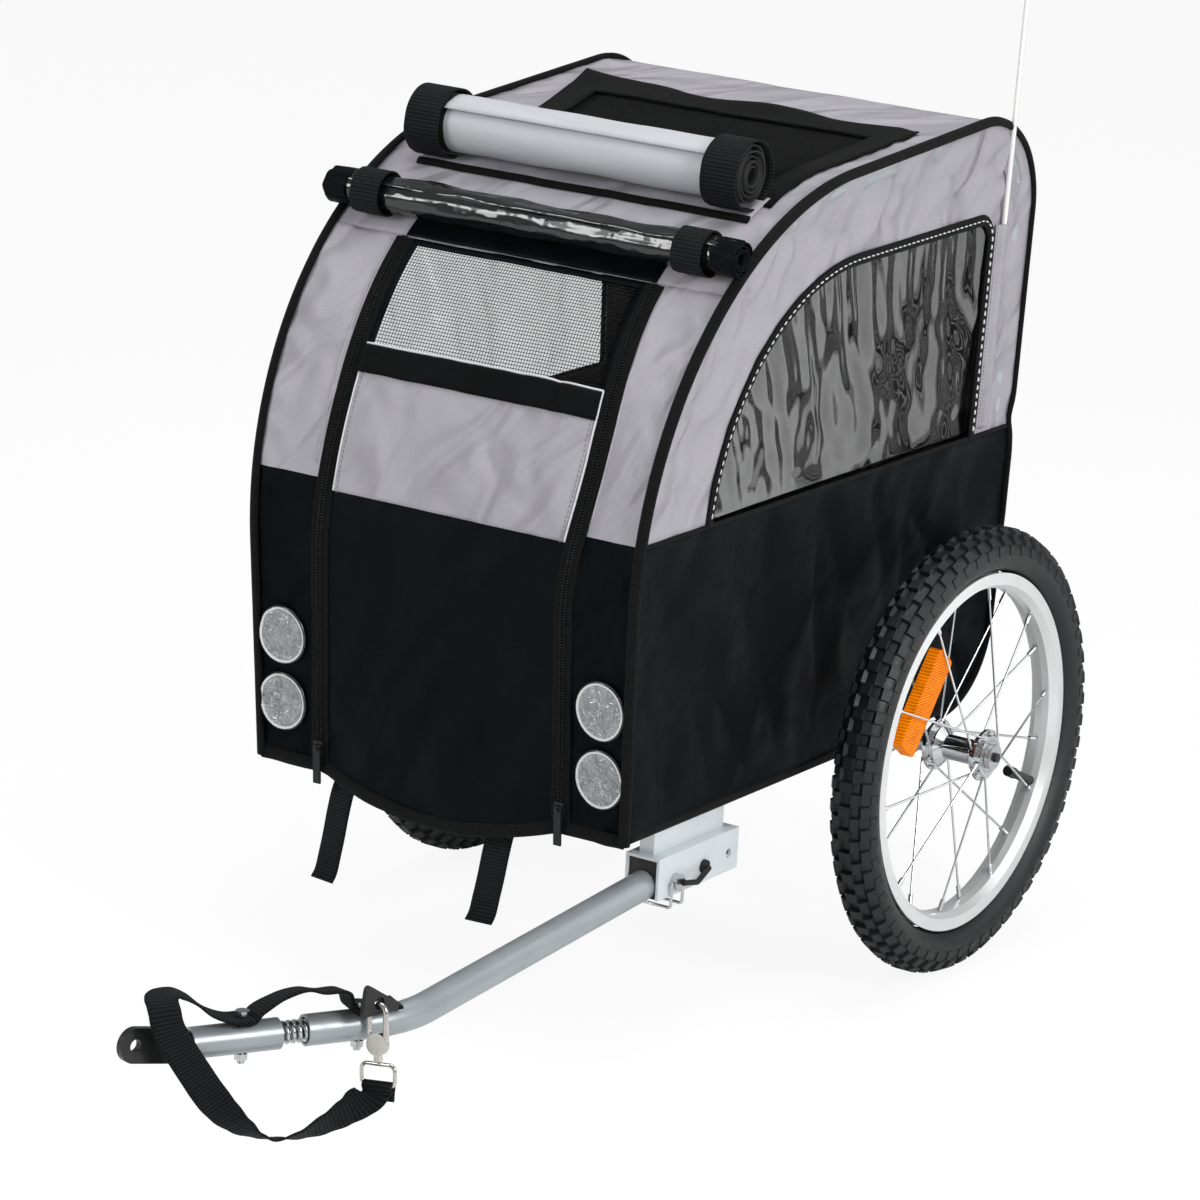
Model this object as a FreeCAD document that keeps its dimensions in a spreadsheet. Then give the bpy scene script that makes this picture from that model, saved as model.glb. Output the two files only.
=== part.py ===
import FreeCAD, Part
import math
import os
import re
import Sketcher
from FreeCAD import Placement, Rotation, Vector

# A two-wheeled dog trailer for a bicycle: a tube frame under a cloth cabin, two spoked wheels on
# push-button axles, and a bent drawbar with a sprung hitch. +Z is up, the drawbar reaches towards -Y
# and the trailer's left side is +X. All lengths are in mm and all angles in degrees.

doc = FreeCAD.newDocument("dog_trailer")
sheet = doc.addObject("Spreadsheet::Sheet", "Sizes")

SIZES = {
    # fits
    "seam_gap": 0.3,            # between two sewn or butted pieces
    "trim_gap": 0.1,            # under a trim that lies on a panel
    "running_gap": 0.35,        # between pieces that turn or slide on each other
    "overrun": 30,              # how far a cutting solid runs past what it cuts
    # cabin outline, seen from the side
    "axle_y": 331.4,
    "skin_bottom": 200,
    "arc_ahead": 141,           # centre of the front arc, ahead of the axle
    "arc_height": 415,
    "arc_radius": 309,
    "front_lean": 4.3,
    "roof_slope": 4.06,
    "rear_reach": 150,          # rear upright, behind the axle
    "rear_top_radius": 90,
    "rear_low_radius": 75,
    "floor_half_width": 184,
    "side_lean": 1.7,
    "cloth": 2,
    "mesh": 1,
    "colour_line": 455,         # height where black cloth changes to grey
    # side windows
    "window_low": 461,
    "window_arc_height": 440,
    "window_arc_radius": 209,
    "window_rear_reach": 95,
    "window_corner": 20,
    "window_pane": 1,
    # front door and roof vent
    "door_half_width": 127,
    "door_top": 646,
    "door_mesh_half": 104,
    "door_mesh_low": 566,
    "door_mesh_high": 636,
    "vent_half_width": 158,
    "vent_ahead": 236,          # front edge of the vent, ahead of the axle
    "vent_behind": 14,
    # frame tubes
    "frame_radius": 10,
    "frame_wall": 1.5,
    "frame_gap": 0.6,           # between a frame tube and the cloth
    "roof_bar_behind": 40,      # rear roof bar, behind the axle
    "roof_bar_angle": 60,       # front roof bar, round the front arc
    "rear_bar_height": 300,
    "floor_board": 4,
    "floor_margin": 1,
    # axle line
    "tyre_radius": 199,
    "axle_tube_radius": 12,
    "axle_tube_wall": 3,
    "axle_tube_half": 206,
    "bushing_length": 44,
    "axle_radius": 6,
    "axle_insert": 52,          # how far an axle reaches into its tube
    "axle_head_radius": 11,
    "axle_head": 5,
    "button_radius": 4,
    "button_length": 5.2,
    "button_proud": 3,
    "button_travel": 2.5,
    "collar_radius": 9,
    "bearing_radius": 14,
    "bearing_width": 8,
    # wheels
    "collar_length": 15.35,     # between the axle tube and the hub
    "hub_half_length": 29,
    "hub_end_radius": 18,
    "hub_barrel_radius": 11,
    "hub_bore_radius": 7.2,
    "flange_radius": 23,
    "flange_thick": 2.6,
    "flange_half_spacing": 24,
    "spoke_circle": 20.2,
    "spoke_radius": 1,
    "spoke_head_radius": 1.7,
    "spoke_head": 0.9,
    "spoke_count": 20,
    "spoke_slant": 36,          # between a spoke's hub hole and its rim hole, round the wheel
    "spoke_rim_offset": 3,
    "spoke_bed": 1.5,           # spoke line clear of the flange face
    "nipple_radius": 2,
    "nipple_length": 10,
    "rim_half_width": 13,
    "rim_wall": 1.8,
    "rim_depth": 15.5,
    "rim_shoulder": 5,
    "tyre_height": 39.5,        # from the rim's edge to the tread
    "tyre_half_width": 22.5,
    "tyre_wall": 4,
    "bead_depth": 6,
    "tube_radius": 12,
    "tube_wall": 1.5,
    "valve_radius": 4,
    "valve_reach": 34,          # valve stem inside the rim
    "valve_cap_radius": 5,
    "valve_cap": 12,
    "valve_angle": -24,
    "reflector_length": 94,
    "reflector_width": 28,
    "reflector_thick": 10.6,
    "reflector_round": 4,
    "reflector_circle": 97,
    "reflector_angle": 142,
    # rolled covers
    "rain_roll_radius": 16,
    "rain_roll_angle": 53,
    "rain_roll_half": 203,
    "roof_roll_radius": 27,
    "roof_roll_core": 7,
    "roof_roll_angle": 68.4,
    "roof_roll_half": 163,
    "roll_strap": 2,
    "roll_strap_width": 28,
    "rain_strap_x": 160,
    "roof_strap_x": 148,
    # front trim
    "disc_radius": 26.5,
    "disc_thick": 1.5,
    "disc_x": 157,
    "disc_high": 312,
    "disc_low": 253,
    "door_strap_width": 25,
    "door_strap_thick": 2.5,
    "door_strap_drop": 104,
    "door_strap_tuck": 16,      # behind the front hem
    "door_strap_near_x": 58,
    "door_strap_far_x": -104,
    "slider_width": 9,
    "slider_length": 14,
    "slider_thick": 4,
    "slider_height": 212,
    "pull_length": 34,
    "pull_width": 7,
    "pull_thick": 2,
    "pull_pin": 1,
    # flag
    "sleeve_behind": 97,
    "sleeve_low": 462,
    "sleeve_length": 184,
    "sleeve_width": 15,
    "sleeve_thick": 8,
    "sleeve_floor": 5,
    "pole_radius": 2.3,
    "pole_length": 1000,
    "pennant_length": 180,
    "pennant_height": 150,
    "pennant_thick": 1.2,
    "pennant_hem": 1.2,
    # drawbar bracket
    "bracket_x": 173.5,
    "bracket_width": 33,
    "bracket_wall": 2.5,
    "bracket_low": 142,
    "bracket_high": 178,
    "bracket_length": 123,
    "bracket_ahead": 388,       # front edge, ahead of the axle
    "bracket_hole": 4,
    "bracket_hole_inset": 15,
    "bracket_hole_rise": 16,
    "spacer_width": 14,
    "spacer_inset": 8,
    "block_length": 42,
    "block_inset": 2,
    "pin_ahead": 363,
    "pin_rise": 3,
    "pin_radius": 4,
    "pin_head_radius": 7,
    "pin_head": 6,
    "pin_tip": 8,
    "bail_radius": 1.3,
    "bail_spread": 6,
    "bail_drop": 9,
    "rivet_ahead": 319,
    "rivet_rise": 14,
    "rivet_radius": 3,
    "rivet_head": 3,
    "lanyard_radius": 2.4,
    # drawbar
    "drawbar_radius": 12.5,
    "drawbar_wall": 2,
    "drawbar_rear_ahead": 268,
    "drawbar_rear_height": 161.5,
    "bend_ahead": 721,
    "bend_height": 126,
    "bend_radius": 110,
    "hitch_turn": 30.4,         # how far the front end turns in
    "drawbar_end": 85,          # from the bend's corner, along the front end
    # hitch
    "spring_gap": 22,
    "coupler_length": 73,
    "plug_length": 15,
    "plug_gap": 0.2,
    "bolt_inset": 45,           # from a tube's open end
    "front_bolt_inset": 30,
    "bolt_radius": 3,
    "bolt_head_radius": 5.5,
    "bolt_head": 4,
    "nut_height": 5,
    "spring_wire": 1.8,
    "spring_radius": 7.6,
    "spring_turns": 15,
    "neck_radius": 8.8,
    "neck_length": 17,
    "neck_plug": 20,
    "plate_thick": 6,
    "plate_width": 28,
    "plate_reach": 40,
    "plate_back": 7,
    "plate_from_neck": 13,
    "plate_turn": 17.4,
    "plate_pitch": 12,
    "hitch_bore": 5.25,
    "strap_width": 26,
    "strap_thick": 2.4,
    "bridge_rise": 20,
    "buckle_back": 14,
    "buckle_ahead": 32,
    "buckle_peak": 28,
    "buckle_rise": 27,
    "buckle_thick": 4,
    "buckle_round": 3.5,
    "buckle_bar": 4,
    "buckle_hole": 5,
    "buckle_hole_ahead": 15,
    "buckle_turn": 17.5,
    "buckle_x": 19.5,
    "buckle_out": 17.5,
    "hook_wire": 2.4,
    "hook_loop": 7.5,
    "hook_spine": 22,
    "hook_nose": 4,
    "hook_base": 9,
    "hook_base_thick": 5,
    "hook_turn": -55,
    "hook_bite": 3.6,           # top of the buckle's bar, over the centre of the hook's bend
    "hook_tilt": 8,
    "gate_radius": 1.9,
    "swivel_radius": 3.5,
    "swivel_length": 7,
    "loop_bar": 1.6,
    "loop_half_width": 15,
    "loop_height": 17,
    "loop_bend": 5,
    "strap_reach": 211,
    "strap_side": 27,
    "strap_drop": 77,
    "strap_lead": 10,           # straight end of the strap below the swivel loop
}

for row, (alias, value) in enumerate(SIZES.items(), start=1):
    sheet.set(f"A{row}", alias)
    sheet.set(f"B{row}", str(value))
    sheet.setAlias(f"B{row}", alias)
doc.recompute()

ALONG_X = Vector(1, 0, 0)
ALONG_Y = Vector(0, 1, 0)
UP = Vector(0, 0, 1)
ORIGIN = Vector(0, 0, 0)
LEFT, RIGHT = 1, -1
SIDE_NAMES = {LEFT: "left", RIGHT: "right"}
nodes = []


def size(alias):
    """Value of one cell of the sheet."""
    return float(sheet.get(alias))


def formula(text):
    """A sum of the sheet's names, as an expression of the document."""
    return re.sub(r"[a-z_]{2,}", r"Sizes.\g<0>", text)


def node(obj, label):
    """Name an object as one piece of the trailer."""
    obj.Label = label
    nodes.append(obj)
    return obj


def made(label, shape, place=None):
    """A piece whose form comes from a sweep, a loft or an outline."""
    obj = doc.addObject("Part::Feature", label)
    obj.Shape = shape
    if place:
        obj.Placement = place
    return obj


def rod(label, radius, length, base, axis=UP):
    """A round bar from base along axis, with its radius and length bound to the sheet."""
    obj = doc.addObject("Part::Cylinder", label)
    obj.setExpression("Radius", formula(radius))
    obj.setExpression("Height", formula(length))
    obj.Placement = Placement(base, Rotation(UP, axis))
    return obj


def box(label, length, width, height, corner):
    """A block with its three sizes bound to the sheet and its low corner at corner."""
    obj = doc.addObject("Part::Box", label)
    obj.setExpression("Length", formula(length))
    obj.setExpression("Width", formula(width))
    obj.setExpression("Height", formula(height))
    obj.Placement = Placement(corner, Rotation())
    return obj


def region(label, low, high):
    """A cutting block between two corners."""
    obj = doc.addObject("Part::Box", label)
    obj.Length, obj.Width, obj.Height = high - low
    obj.Placement = Placement(low, Rotation())
    return obj


def cut(label, base, *tools):
    """Base with each tool taken out of it in turn."""
    for count, tool in enumerate(tools, start=1):
        obj = doc.addObject("Part::Cut", label if count == len(tools) else label + "_stage")
        obj.Base, obj.Tool = base, tool
        base = obj
    return base


def joined(label, *shapes):
    """Several overlapping solids as one."""
    obj = doc.addObject("Part::MultiFuse", label)
    obj.Shapes = list(shapes)
    return obj


def shared(label, *shapes):
    """What several solids have in common."""
    obj = doc.addObject("Part::MultiCommon", label)
    obj.Shapes = list(shapes)
    return obj


def group(label, *objects):
    """Separate solids that make one piece of the list."""
    obj = doc.addObject("Part::Compound", label)
    obj.Links = list(objects)
    return obj


def extruded(label, face, direction, length, symmetric=False):
    """A flat outline pushed along direction by a length bound to the sheet."""
    obj = doc.addObject("Part::Extrusion", label)
    obj.Base = made(label + "_outline", face)
    obj.DirMode = "Custom"
    obj.Dir = direction
    obj.setExpression("LengthFwd", formula(length))
    obj.Symmetric = symmetric
    obj.Solid = True
    return obj


def turned(label, outline):
    """A closed outline in the plane of X and Z, turned about X."""
    obj = doc.addObject("Part::Revolution", label)
    obj.Source = made(label + "_outline", outline)
    obj.Axis = ALONG_X
    obj.Base = ORIGIN
    obj.Angle = 360
    obj.Solid = True
    return obj


def polygon(points):
    """Closed wire through points."""
    return Part.makePolygon(list(points) + [points[0]])


def arc(centre, radius, first, last):
    """Arc of under half a turn about centre, from one direction to another."""
    middle = (first + last).normalize()
    ends = [centre + direction * radius for direction in (first, middle, last)]
    return Part.Arc(*ends).toShape()


def bent_path(points, radius, closed=False):
    """Straight runs through points, joined by tangent arcs of one radius."""
    count = len(points)
    corners = range(count) if closed else range(1, count - 1)
    bends = {}
    for index in corners:
        corner = points[index]
        back = (points[index - 1] - corner).normalize()
        ahead = (points[(index + 1) % count] - corner).normalize()
        half_angle = back.getAngle(ahead) / 2
        reach = radius / math.tan(half_angle)
        centre = corner + (back + ahead).normalize() * (radius / math.sin(half_angle))
        nearest = centre + (corner - centre).normalize() * radius
        bends[index] = (corner + back * reach, nearest, corner + ahead * reach)
    edges = []
    place = bends[0][2] if closed else points[0]
    for index in list(range(1, count)) + ([0] if closed else []):
        if index not in bends:
            edges.append(Part.makeLine(place, points[index]))
            continue
        enter, nearest, leave = bends[index]
        edges.append(Part.makeLine(place, enter))
        edges.append(Part.Arc(enter, nearest, leave).toShape())
        place = leave
    return Part.Wire(edges)


def pipe(path, radius):
    """Round bar along a path."""
    first = path.Edges[0]
    start = first.valueAt(first.FirstParameter)
    heading = first.tangentAt(first.FirstParameter)
    circle = Part.Wire(Part.makeCircle(radius, start, heading))
    return path.makePipeShell([circle], True, False)


def disc(radius, middle, heading):
    """Round face across a heading."""
    return Part.Face(Part.Wire(Part.makeCircle(radius, middle, heading)))


def hollow_pipe(path, radius, wall):
    """Round tube along a path of lines and arcs, run by run."""
    runs = []
    for edge in path.Edges:
        start = edge.valueAt(edge.FirstParameter)
        heading = edge.tangentAt(edge.FirstParameter)
        ring = disc(radius, start, heading).cut(disc(radius - wall, start, heading)).Faces[0]
        if edge.Curve.TypeId == "Part::GeomLine":
            runs.append(ring.extrude(heading * edge.Length))
            continue
        centre, axis = edge.Curve.Center, edge.Curve.Axis
        turn = math.degrees(edge.Length / edge.Curve.Radius)
        if axis.cross(start - centre).dot(heading) < 0:
            axis = -axis
        runs.append(ring.revolve(centre, axis, turn))
    return runs[0].multiFuse(runs[1:]).removeSplitter()


def ribbon(stations, width, thick):
    """Flat webbing through stations of (point, direction of its width, direction of its thickness)."""
    sections = []
    for point, across, through in stations:
        side = across.normalize() * (width / 2)
        depth = through.normalize() * (thick / 2)
        corners = (side + depth, side - depth, -side - depth, depth - side)
        sections.append(polygon([point + corner for corner in corners]))
    return Part.makeLoft(sections, True, True)


def body(label, plane, corners, length, reverse=False):
    """A PartDesign body: a closed sketch whose corners are bound to the sheet, padded by length."""
    solid = doc.addObject("PartDesign::Body", label)
    origin = {part.Role: part for part in solid.Origin.OriginFeatures}
    sketch = solid.newObject("Sketcher::SketchObject", label + "_sketch")
    sketch.AttachmentSupport = [(origin[plane], "")]
    sketch.MapMode = "FlatFace"
    count = len(corners)
    spots = [Vector(*[signed_sum(text) for text in corner], 0) for corner in corners]
    for index in range(count):
        sketch.addGeometry(Part.LineSegment(spots[index], spots[(index + 1) % count]))
    for index in range(count):
        sketch.addConstraint(Sketcher.Constraint("Coincident", index, 2, (index + 1) % count, 1))
    for index, corner in enumerate(corners):
        for kind, text in zip(("DistanceX", "DistanceY"), corner):
            place = sketch.addConstraint(Sketcher.Constraint(kind, -1, 1, index, 1, signed_sum(text)))
            sketch.setExpression(f"Constraints[{place}]", formula(text))
    pad = solid.newObject("PartDesign::Pad", label + "_pad")
    pad.Profile = sketch
    pad.setExpression("Length", formula(length))
    pad.Reversed = reverse
    return solid


def signed_sum(text):
    """Value of a sum of the sheet's names, each with an optional number before it."""
    total = 0
    for sign, number, alias in re.findall(r"([+-]?)\s*(?:([\d.]+)\s*\*\s*)?([a-z_]{2,})", text):
        total += (-1 if sign == "-" else 1) * float(number or 1) * size(alias)
    return total


# Cabin outline. Every cloth panel and frame tube follows this line, set in by its own distance.
axle = Vector(0, size("axle_y"), size("tyre_radius"))
rim_radius = size("tyre_radius") - size("tyre_height")
half_track = size("axle_tube_half") + size("running_gap") + size("collar_length") + size("hub_half_length")
lean = math.radians(size("front_lean"))
slope = math.radians(size("roof_slope"))
arc_centre = Vector(0, axle.y - size("arc_ahead"), size("arc_height"))
front_way = Vector(0, -math.cos(lean), -math.sin(lean))
down_front = Vector(0, math.sin(lean), -math.cos(lean))
roof_way = Vector(0, -math.sin(slope), math.cos(slope))
along_roof = Vector(0, math.cos(slope), math.sin(slope))
rear_y = axle.y + size("rear_reach")
roof_start = arc_centre + roof_way * size("arc_radius")
roof_run = (rear_y - size("rear_top_radius") * (1 + math.sin(slope)) - roof_start.y) / math.cos(slope)
rear_top_centre = roof_start + along_roof * roof_run - roof_way * size("rear_top_radius")
rear_low_centre = Vector(0, rear_y - size("rear_low_radius"), size("skin_bottom") + size("rear_low_radius"))


def cabin_corners(inset):
    """Where the outline's straight and round stretches meet, set in by inset."""
    front_top = arc_centre + front_way * (size("arc_radius") - inset)
    drop = (front_top.z - size("skin_bottom") - inset) / math.cos(lean)
    return {
        "front_low": front_top + down_front * drop,
        "front_top": front_top,
        "roof_front": arc_centre + roof_way * (size("arc_radius") - inset),
        "roof_rear": rear_top_centre + roof_way * (size("rear_top_radius") - inset),
        "rear_top": rear_top_centre + ALONG_Y * (size("rear_top_radius") - inset),
        "rear_low": rear_low_centre + ALONG_Y * (size("rear_low_radius") - inset),
        "floor_rear": rear_low_centre - UP * (size("rear_low_radius") - inset),
    }


def cabin_arcs(inset):
    """The outline's front, rear top and rear low arcs, set in by inset."""
    front = arc(arc_centre, size("arc_radius") - inset, front_way, roof_way)
    top = arc(rear_top_centre, size("rear_top_radius") - inset, roof_way, ALONG_Y)
    low = arc(rear_low_centre, size("rear_low_radius") - inset, ALONG_Y, -UP)
    return front, top, low


def cabin_outline(inset):
    """Closed outline of the cabin, set in by inset."""
    at = cabin_corners(inset)
    front, top, low = cabin_arcs(inset)
    return Part.Wire([
        Part.makeLine(at["front_low"], at["front_top"]), front,
        Part.makeLine(at["roof_front"], at["roof_rear"]), top,
        Part.makeLine(at["rear_top"], at["rear_low"]), low,
        Part.makeLine(at["floor_rear"], at["front_low"])])


def on_front_arc(angle, height):
    """Point at a height over the front arc, at an angle up from level."""
    way = Vector(0, -math.cos(math.radians(angle)), math.sin(math.radians(angle)))
    return arc_centre + way * (size("arc_radius") + height)


def half_width(height):
    """Half the cabin's width at a height, to the outer faces of its sides."""
    return size("floor_half_width") + (height - size("skin_bottom")) * math.tan(math.radians(size("side_lean")))


def side_place(side):
    """Plane of one leaning side, with its origin on the cabin's bottom line."""
    corner = Vector(side * size("floor_half_width"), 0, size("skin_bottom"))
    return Placement(corner, Rotation(ALONG_Y, side * size("side_lean")))


SIDE_DROP = Vector(0, 0, -size("skin_bottom"))
FAR = Vector(1, 1, 1) * (size("bend_ahead") + size("pole_length"))

# Side frames: one bent tube on each side, from the front of the floor rail round the rear upright and
# the roof, down to the rail again.
frame_inset = size("cloth") + size("frame_gap") + size("frame_radius")


def side_frame_path():
    """Centre line of a side frame in its own leaning plane."""
    at = cabin_corners(frame_inset)
    front, top, low = cabin_arcs(frame_inset)
    rail_front = at["front_low"] - ALONG_Y * (size("frame_radius") - size("frame_gap"))
    foot = at["front_low"] - down_front * (size("frame_radius") + size("seam_gap"))
    return Part.Wire([
        Part.makeLine(rail_front, at["floor_rear"]), arc(rear_low_centre, size("rear_low_radius") - frame_inset,
                                                         -UP, ALONG_Y),
        Part.makeLine(at["rear_low"], at["rear_top"]), arc(rear_top_centre, size("rear_top_radius") - frame_inset,
                                                           ALONG_Y, roof_way),
        Part.makeLine(at["roof_rear"], at["roof_front"]), arc(arc_centre, size("arc_radius") - frame_inset,
                                                              roof_way, front_way),
        Part.makeLine(at["front_top"], foot)])


axle_bar = rod("axle_bar", "axle_tube_radius", "2 * axle_tube_half",
               axle - ALONG_X * size("axle_tube_half"), ALONG_X)
for side, name in SIDE_NAMES.items():
    path = side_frame_path()
    path.translate(SIDE_DROP - ALONG_X * (side * frame_inset))
    bent = made(name + "_bent_tube", hollow_pipe(path, size("frame_radius"), size("frame_wall")), side_place(side))
    node(cut(name + "_side_frame", bent, axle_bar), name + "_side_frame")

# Cross tubes between the side frames: front and rear of the floor, front and rear of the roof.
frame_at = cabin_corners(frame_inset)


def cross_tube(label, middle):
    """A level tube that reaches from one side frame to the other."""
    reach = half_width(middle.z) - frame_inset - size("frame_radius") - size("seam_gap")
    length = 2 * reach
    outer = Part.makeCylinder(size("frame_radius"), length, middle - ALONG_X * reach, ALONG_X)
    inner = Part.makeCylinder(size("frame_radius") - size("frame_wall"), length, middle - ALONG_X * reach, ALONG_X)
    return made(label, outer.cut(inner))


rear_bar = Vector(0, rear_y - frame_inset, size("rear_bar_height"))
roof_bar_run = axle.y + size("roof_bar_behind") - frame_at["roof_front"].y
roof_bar = frame_at["roof_front"] + along_roof * (roof_bar_run / math.cos(slope))
cross_middles = {
    "front_floor_tube": frame_at["front_low"],
    "rear_upright_tube": rear_bar,
    "front_roof_tube": on_front_arc(size("roof_bar_angle"), -frame_inset),
    "rear_roof_tube": roof_bar,
}
node(group("cross_tubes", *[cross_tube(label, middle) for label, middle in cross_middles.items()]), "cross_tubes")

# Axle tube across the floor, with a bushing in each end that takes a wheel's axle.
node(cut("axle_tube", axle_bar, rod("axle_tube_bore", "axle_tube_radius - axle_tube_wall", "2 * axle_tube_half",
                                    axle - ALONG_X * size("axle_tube_half"), ALONG_X)), "axle_tube")


def bushing(side):
    """Plain bearing pressed into one end of the axle tube."""
    inner_end = axle + ALONG_X * (side * (size("axle_tube_half") - size("bushing_length")))
    ring = rod("bushing_ring", "axle_tube_radius - axle_tube_wall", "bushing_length", inner_end, ALONG_X * side)
    return cut("bushing", ring, rod("bushing_bore", "axle_radius", "bushing_length", inner_end, ALONG_X * side))


node(group("axle_bushings", bushing(LEFT), bushing(RIGHT)), "axle_bushings")

# Floor panel: a stiff board that lies on the two floor rails.
rail_middle = side_place(LEFT).multVec(Vector(-frame_inset, 0, frame_inset))
floor_z = rail_middle.z + size("frame_radius") + size("trim_gap")
floor_half = half_width(floor_z) - size("cloth") - 2 * size("frame_gap") - size("floor_margin")
floor_front = frame_at["front_low"].y + 2 * size("frame_radius")
floor_rear = rear_low_centre.y
floor_face = Part.Face(polygon([Vector(-floor_half, floor_front, floor_z), Vector(floor_half, floor_front, floor_z),
                                Vector(floor_half, floor_rear, floor_z), Vector(-floor_half, floor_rear, floor_z)]))
node(extruded("floor_panel", floor_face, UP, "floor_board"), "floor_panel")

# Side panels: black cloth below the colour line and grey above it, with a window in the grey.
panel_inset = size("cloth") + size("seam_gap")


def window_outline(inset):
    """Outline of a side window in the side's own plane, set in by inset."""
    centre = Vector(0, arc_centre.y, size("window_arc_height"))
    radius = size("window_arc_radius") - inset
    low = size("window_low") + inset
    rear = axle.y + size("window_rear_reach") - inset
    corner = size("window_corner") - inset
    rise = low - centre.z
    start_way = Vector(0, -math.sqrt(radius ** 2 - rise ** 2), rise).normalize()
    top_front = centre + roof_way * radius
    run = (rear - corner * (1 + math.sin(slope)) - top_front.y) / math.cos(slope)
    corner_centre = top_front + along_roof * run - roof_way * corner
    corner_rear = corner_centre + ALONG_Y * corner
    sill_rear = Vector(0, rear, low)
    return Part.Wire([
        arc(centre, radius, start_way, roof_way), Part.makeLine(top_front, corner_centre + roof_way * corner),
        arc(corner_centre, corner, roof_way, ALONG_Y), Part.makeLine(corner_rear, sill_rear),
        Part.makeLine(sill_rear, centre + start_way * radius)])


def side_face(wire):
    """Face of an outline, moved into the side's own plane."""
    face = Part.Face(wire)
    face.translate(SIDE_DROP)
    return face


seam_half = size("seam_gap") / 2
colour_rise = size("colour_line") - size("skin_bottom")
windows = []
for side, name in SIDE_NAMES.items():
    inward = ALONG_X * -side
    sheet_cloth = extruded(name + "_side_cloth", side_face(cabin_outline(panel_inset)), inward, "cloth")
    hole = extruded(name + "_window_hole", side_face(window_outline(0)), inward, "cloth")
    above = region(name + "_above", Vector(-FAR.x, -FAR.y, colour_rise + seam_half), FAR)
    below = region(name + "_below", -FAR, Vector(FAR.x, FAR.y, colour_rise - seam_half))
    notch = rod(name + "_axle_notch", "axle_tube_radius + frame_gap", "2 * overrun",
                axle + SIDE_DROP - ALONG_X * size("overrun"), ALONG_X)
    upper = cut(name + "_upper_cloth", shared(name + "_grey_cloth", sheet_cloth, above), hole)
    lower = cut(name + "_lower_cloth", shared(name + "_black_cloth", sheet_cloth, below), notch)
    panel = node(group(name + "_side_panel", upper, lower), name + "_side_panel")
    panel.Placement = side_place(side)
    pane = extruded(name + "_window", side_face(window_outline(size("seam_gap"))), inward, "window_pane")
    pane.Placement = side_place(side)
    windows.append(pane)
node(group("side_windows", *windows), "side_windows")

# Front, roof and rear sheets: one cloth line round the cabin, cut to width by the leaning sides.


def ring_face(outer_inset, inner_inset):
    """The band between two insets of the cabin's outline."""
    return Part.Face(cabin_outline(outer_inset)).cut(Part.Face(cabin_outline(inner_inset))).Faces[0]


skin = extruded("skin", ring_face(0, size("cloth")), ALONG_X, "4 * floor_half_width", True)
mesh_inset = (size("cloth") - size("mesh")) / 2
mesh_skin = extruded("mesh_skin", ring_face(mesh_inset, mesh_inset + size("mesh")), ALONG_X,
                     "4 * floor_half_width", True)
wedge_top = FAR.z
wedge_face = Part.Face(polygon([Vector(-half_width(0), -FAR.y, 0), Vector(half_width(0), -FAR.y, 0),
                                Vector(half_width(wedge_top), -FAR.y, wedge_top),
                                Vector(-half_width(wedge_top), -FAR.y, wedge_top)]))
between_sides = made("between_sides", wedge_face.extrude(ALONG_Y * (2 * FAR.y)))
hem = size("skin_bottom") + panel_inset
strips = []
for side, name in SIDE_NAMES.items():
    edges = sorted([side * (size("door_half_width") + seam_half), side * FAR.x])
    zone = region(name + "_strip_zone", Vector(edges[0], -FAR.y, hem),
                  Vector(edges[1], arc_centre.y, size("door_top") - seam_half))
    strips.append(shared(name + "_front_strip", skin, between_sides, zone))
node(group("front_strips", *strips), "front_strips")
vent_low = Vector(-size("vent_half_width"), axle.y - size("vent_ahead"), size("door_top"))
vent_high = Vector(size("vent_half_width"), axle.y + size("vent_behind"), FAR.z)
vent_margin = Vector(1, 1, 0) * size("seam_gap")
roof_zone = region("roof_zone", Vector(-FAR.x, -FAR.y, size("door_top") + seam_half), FAR)
node(cut("roof_panel", shared("roof_cloth", skin, between_sides, roof_zone),
         region("vent_hole", vent_low, vent_high)), "roof_panel")
node(shared("roof_mesh", mesh_skin, region("vent_zone", vent_low + vent_margin, vent_high - vent_margin)),
     "roof_mesh")
rear_zone = region("rear_zone", Vector(-FAR.x, axle.y + size("rear_reach") - size("rear_low_radius"), hem),
                   Vector(FAR.x, FAR.y, size("door_top") - seam_half))
node(shared("rear_panel", skin, between_sides, rear_zone), "rear_panel")

# Front door between the zips: black and grey cloth with a mesh window. It lifts about its top edge.
door_half = size("door_half_width") - seam_half
door_zone = region("door_zone", Vector(-door_half, -FAR.y, hem + size("seam_gap")),
                   Vector(door_half, arc_centre.y, size("door_top") - seam_half))
mesh_low = Vector(-size("door_mesh_half"), -FAR.y, size("door_mesh_low"))
mesh_high = Vector(size("door_mesh_half"), arc_centre.y, size("door_mesh_high"))
mesh_margin = Vector(1, 0, 1) * size("seam_gap")
node(cut("front_door", shared("door_cloth", skin, door_zone), region("door_hole", mesh_low, mesh_high)),
     "front_door")
node(shared("door_mesh", mesh_skin, region("door_mesh_zone", mesh_low + mesh_margin, mesh_high - mesh_margin)),
     "door_mesh")

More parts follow.
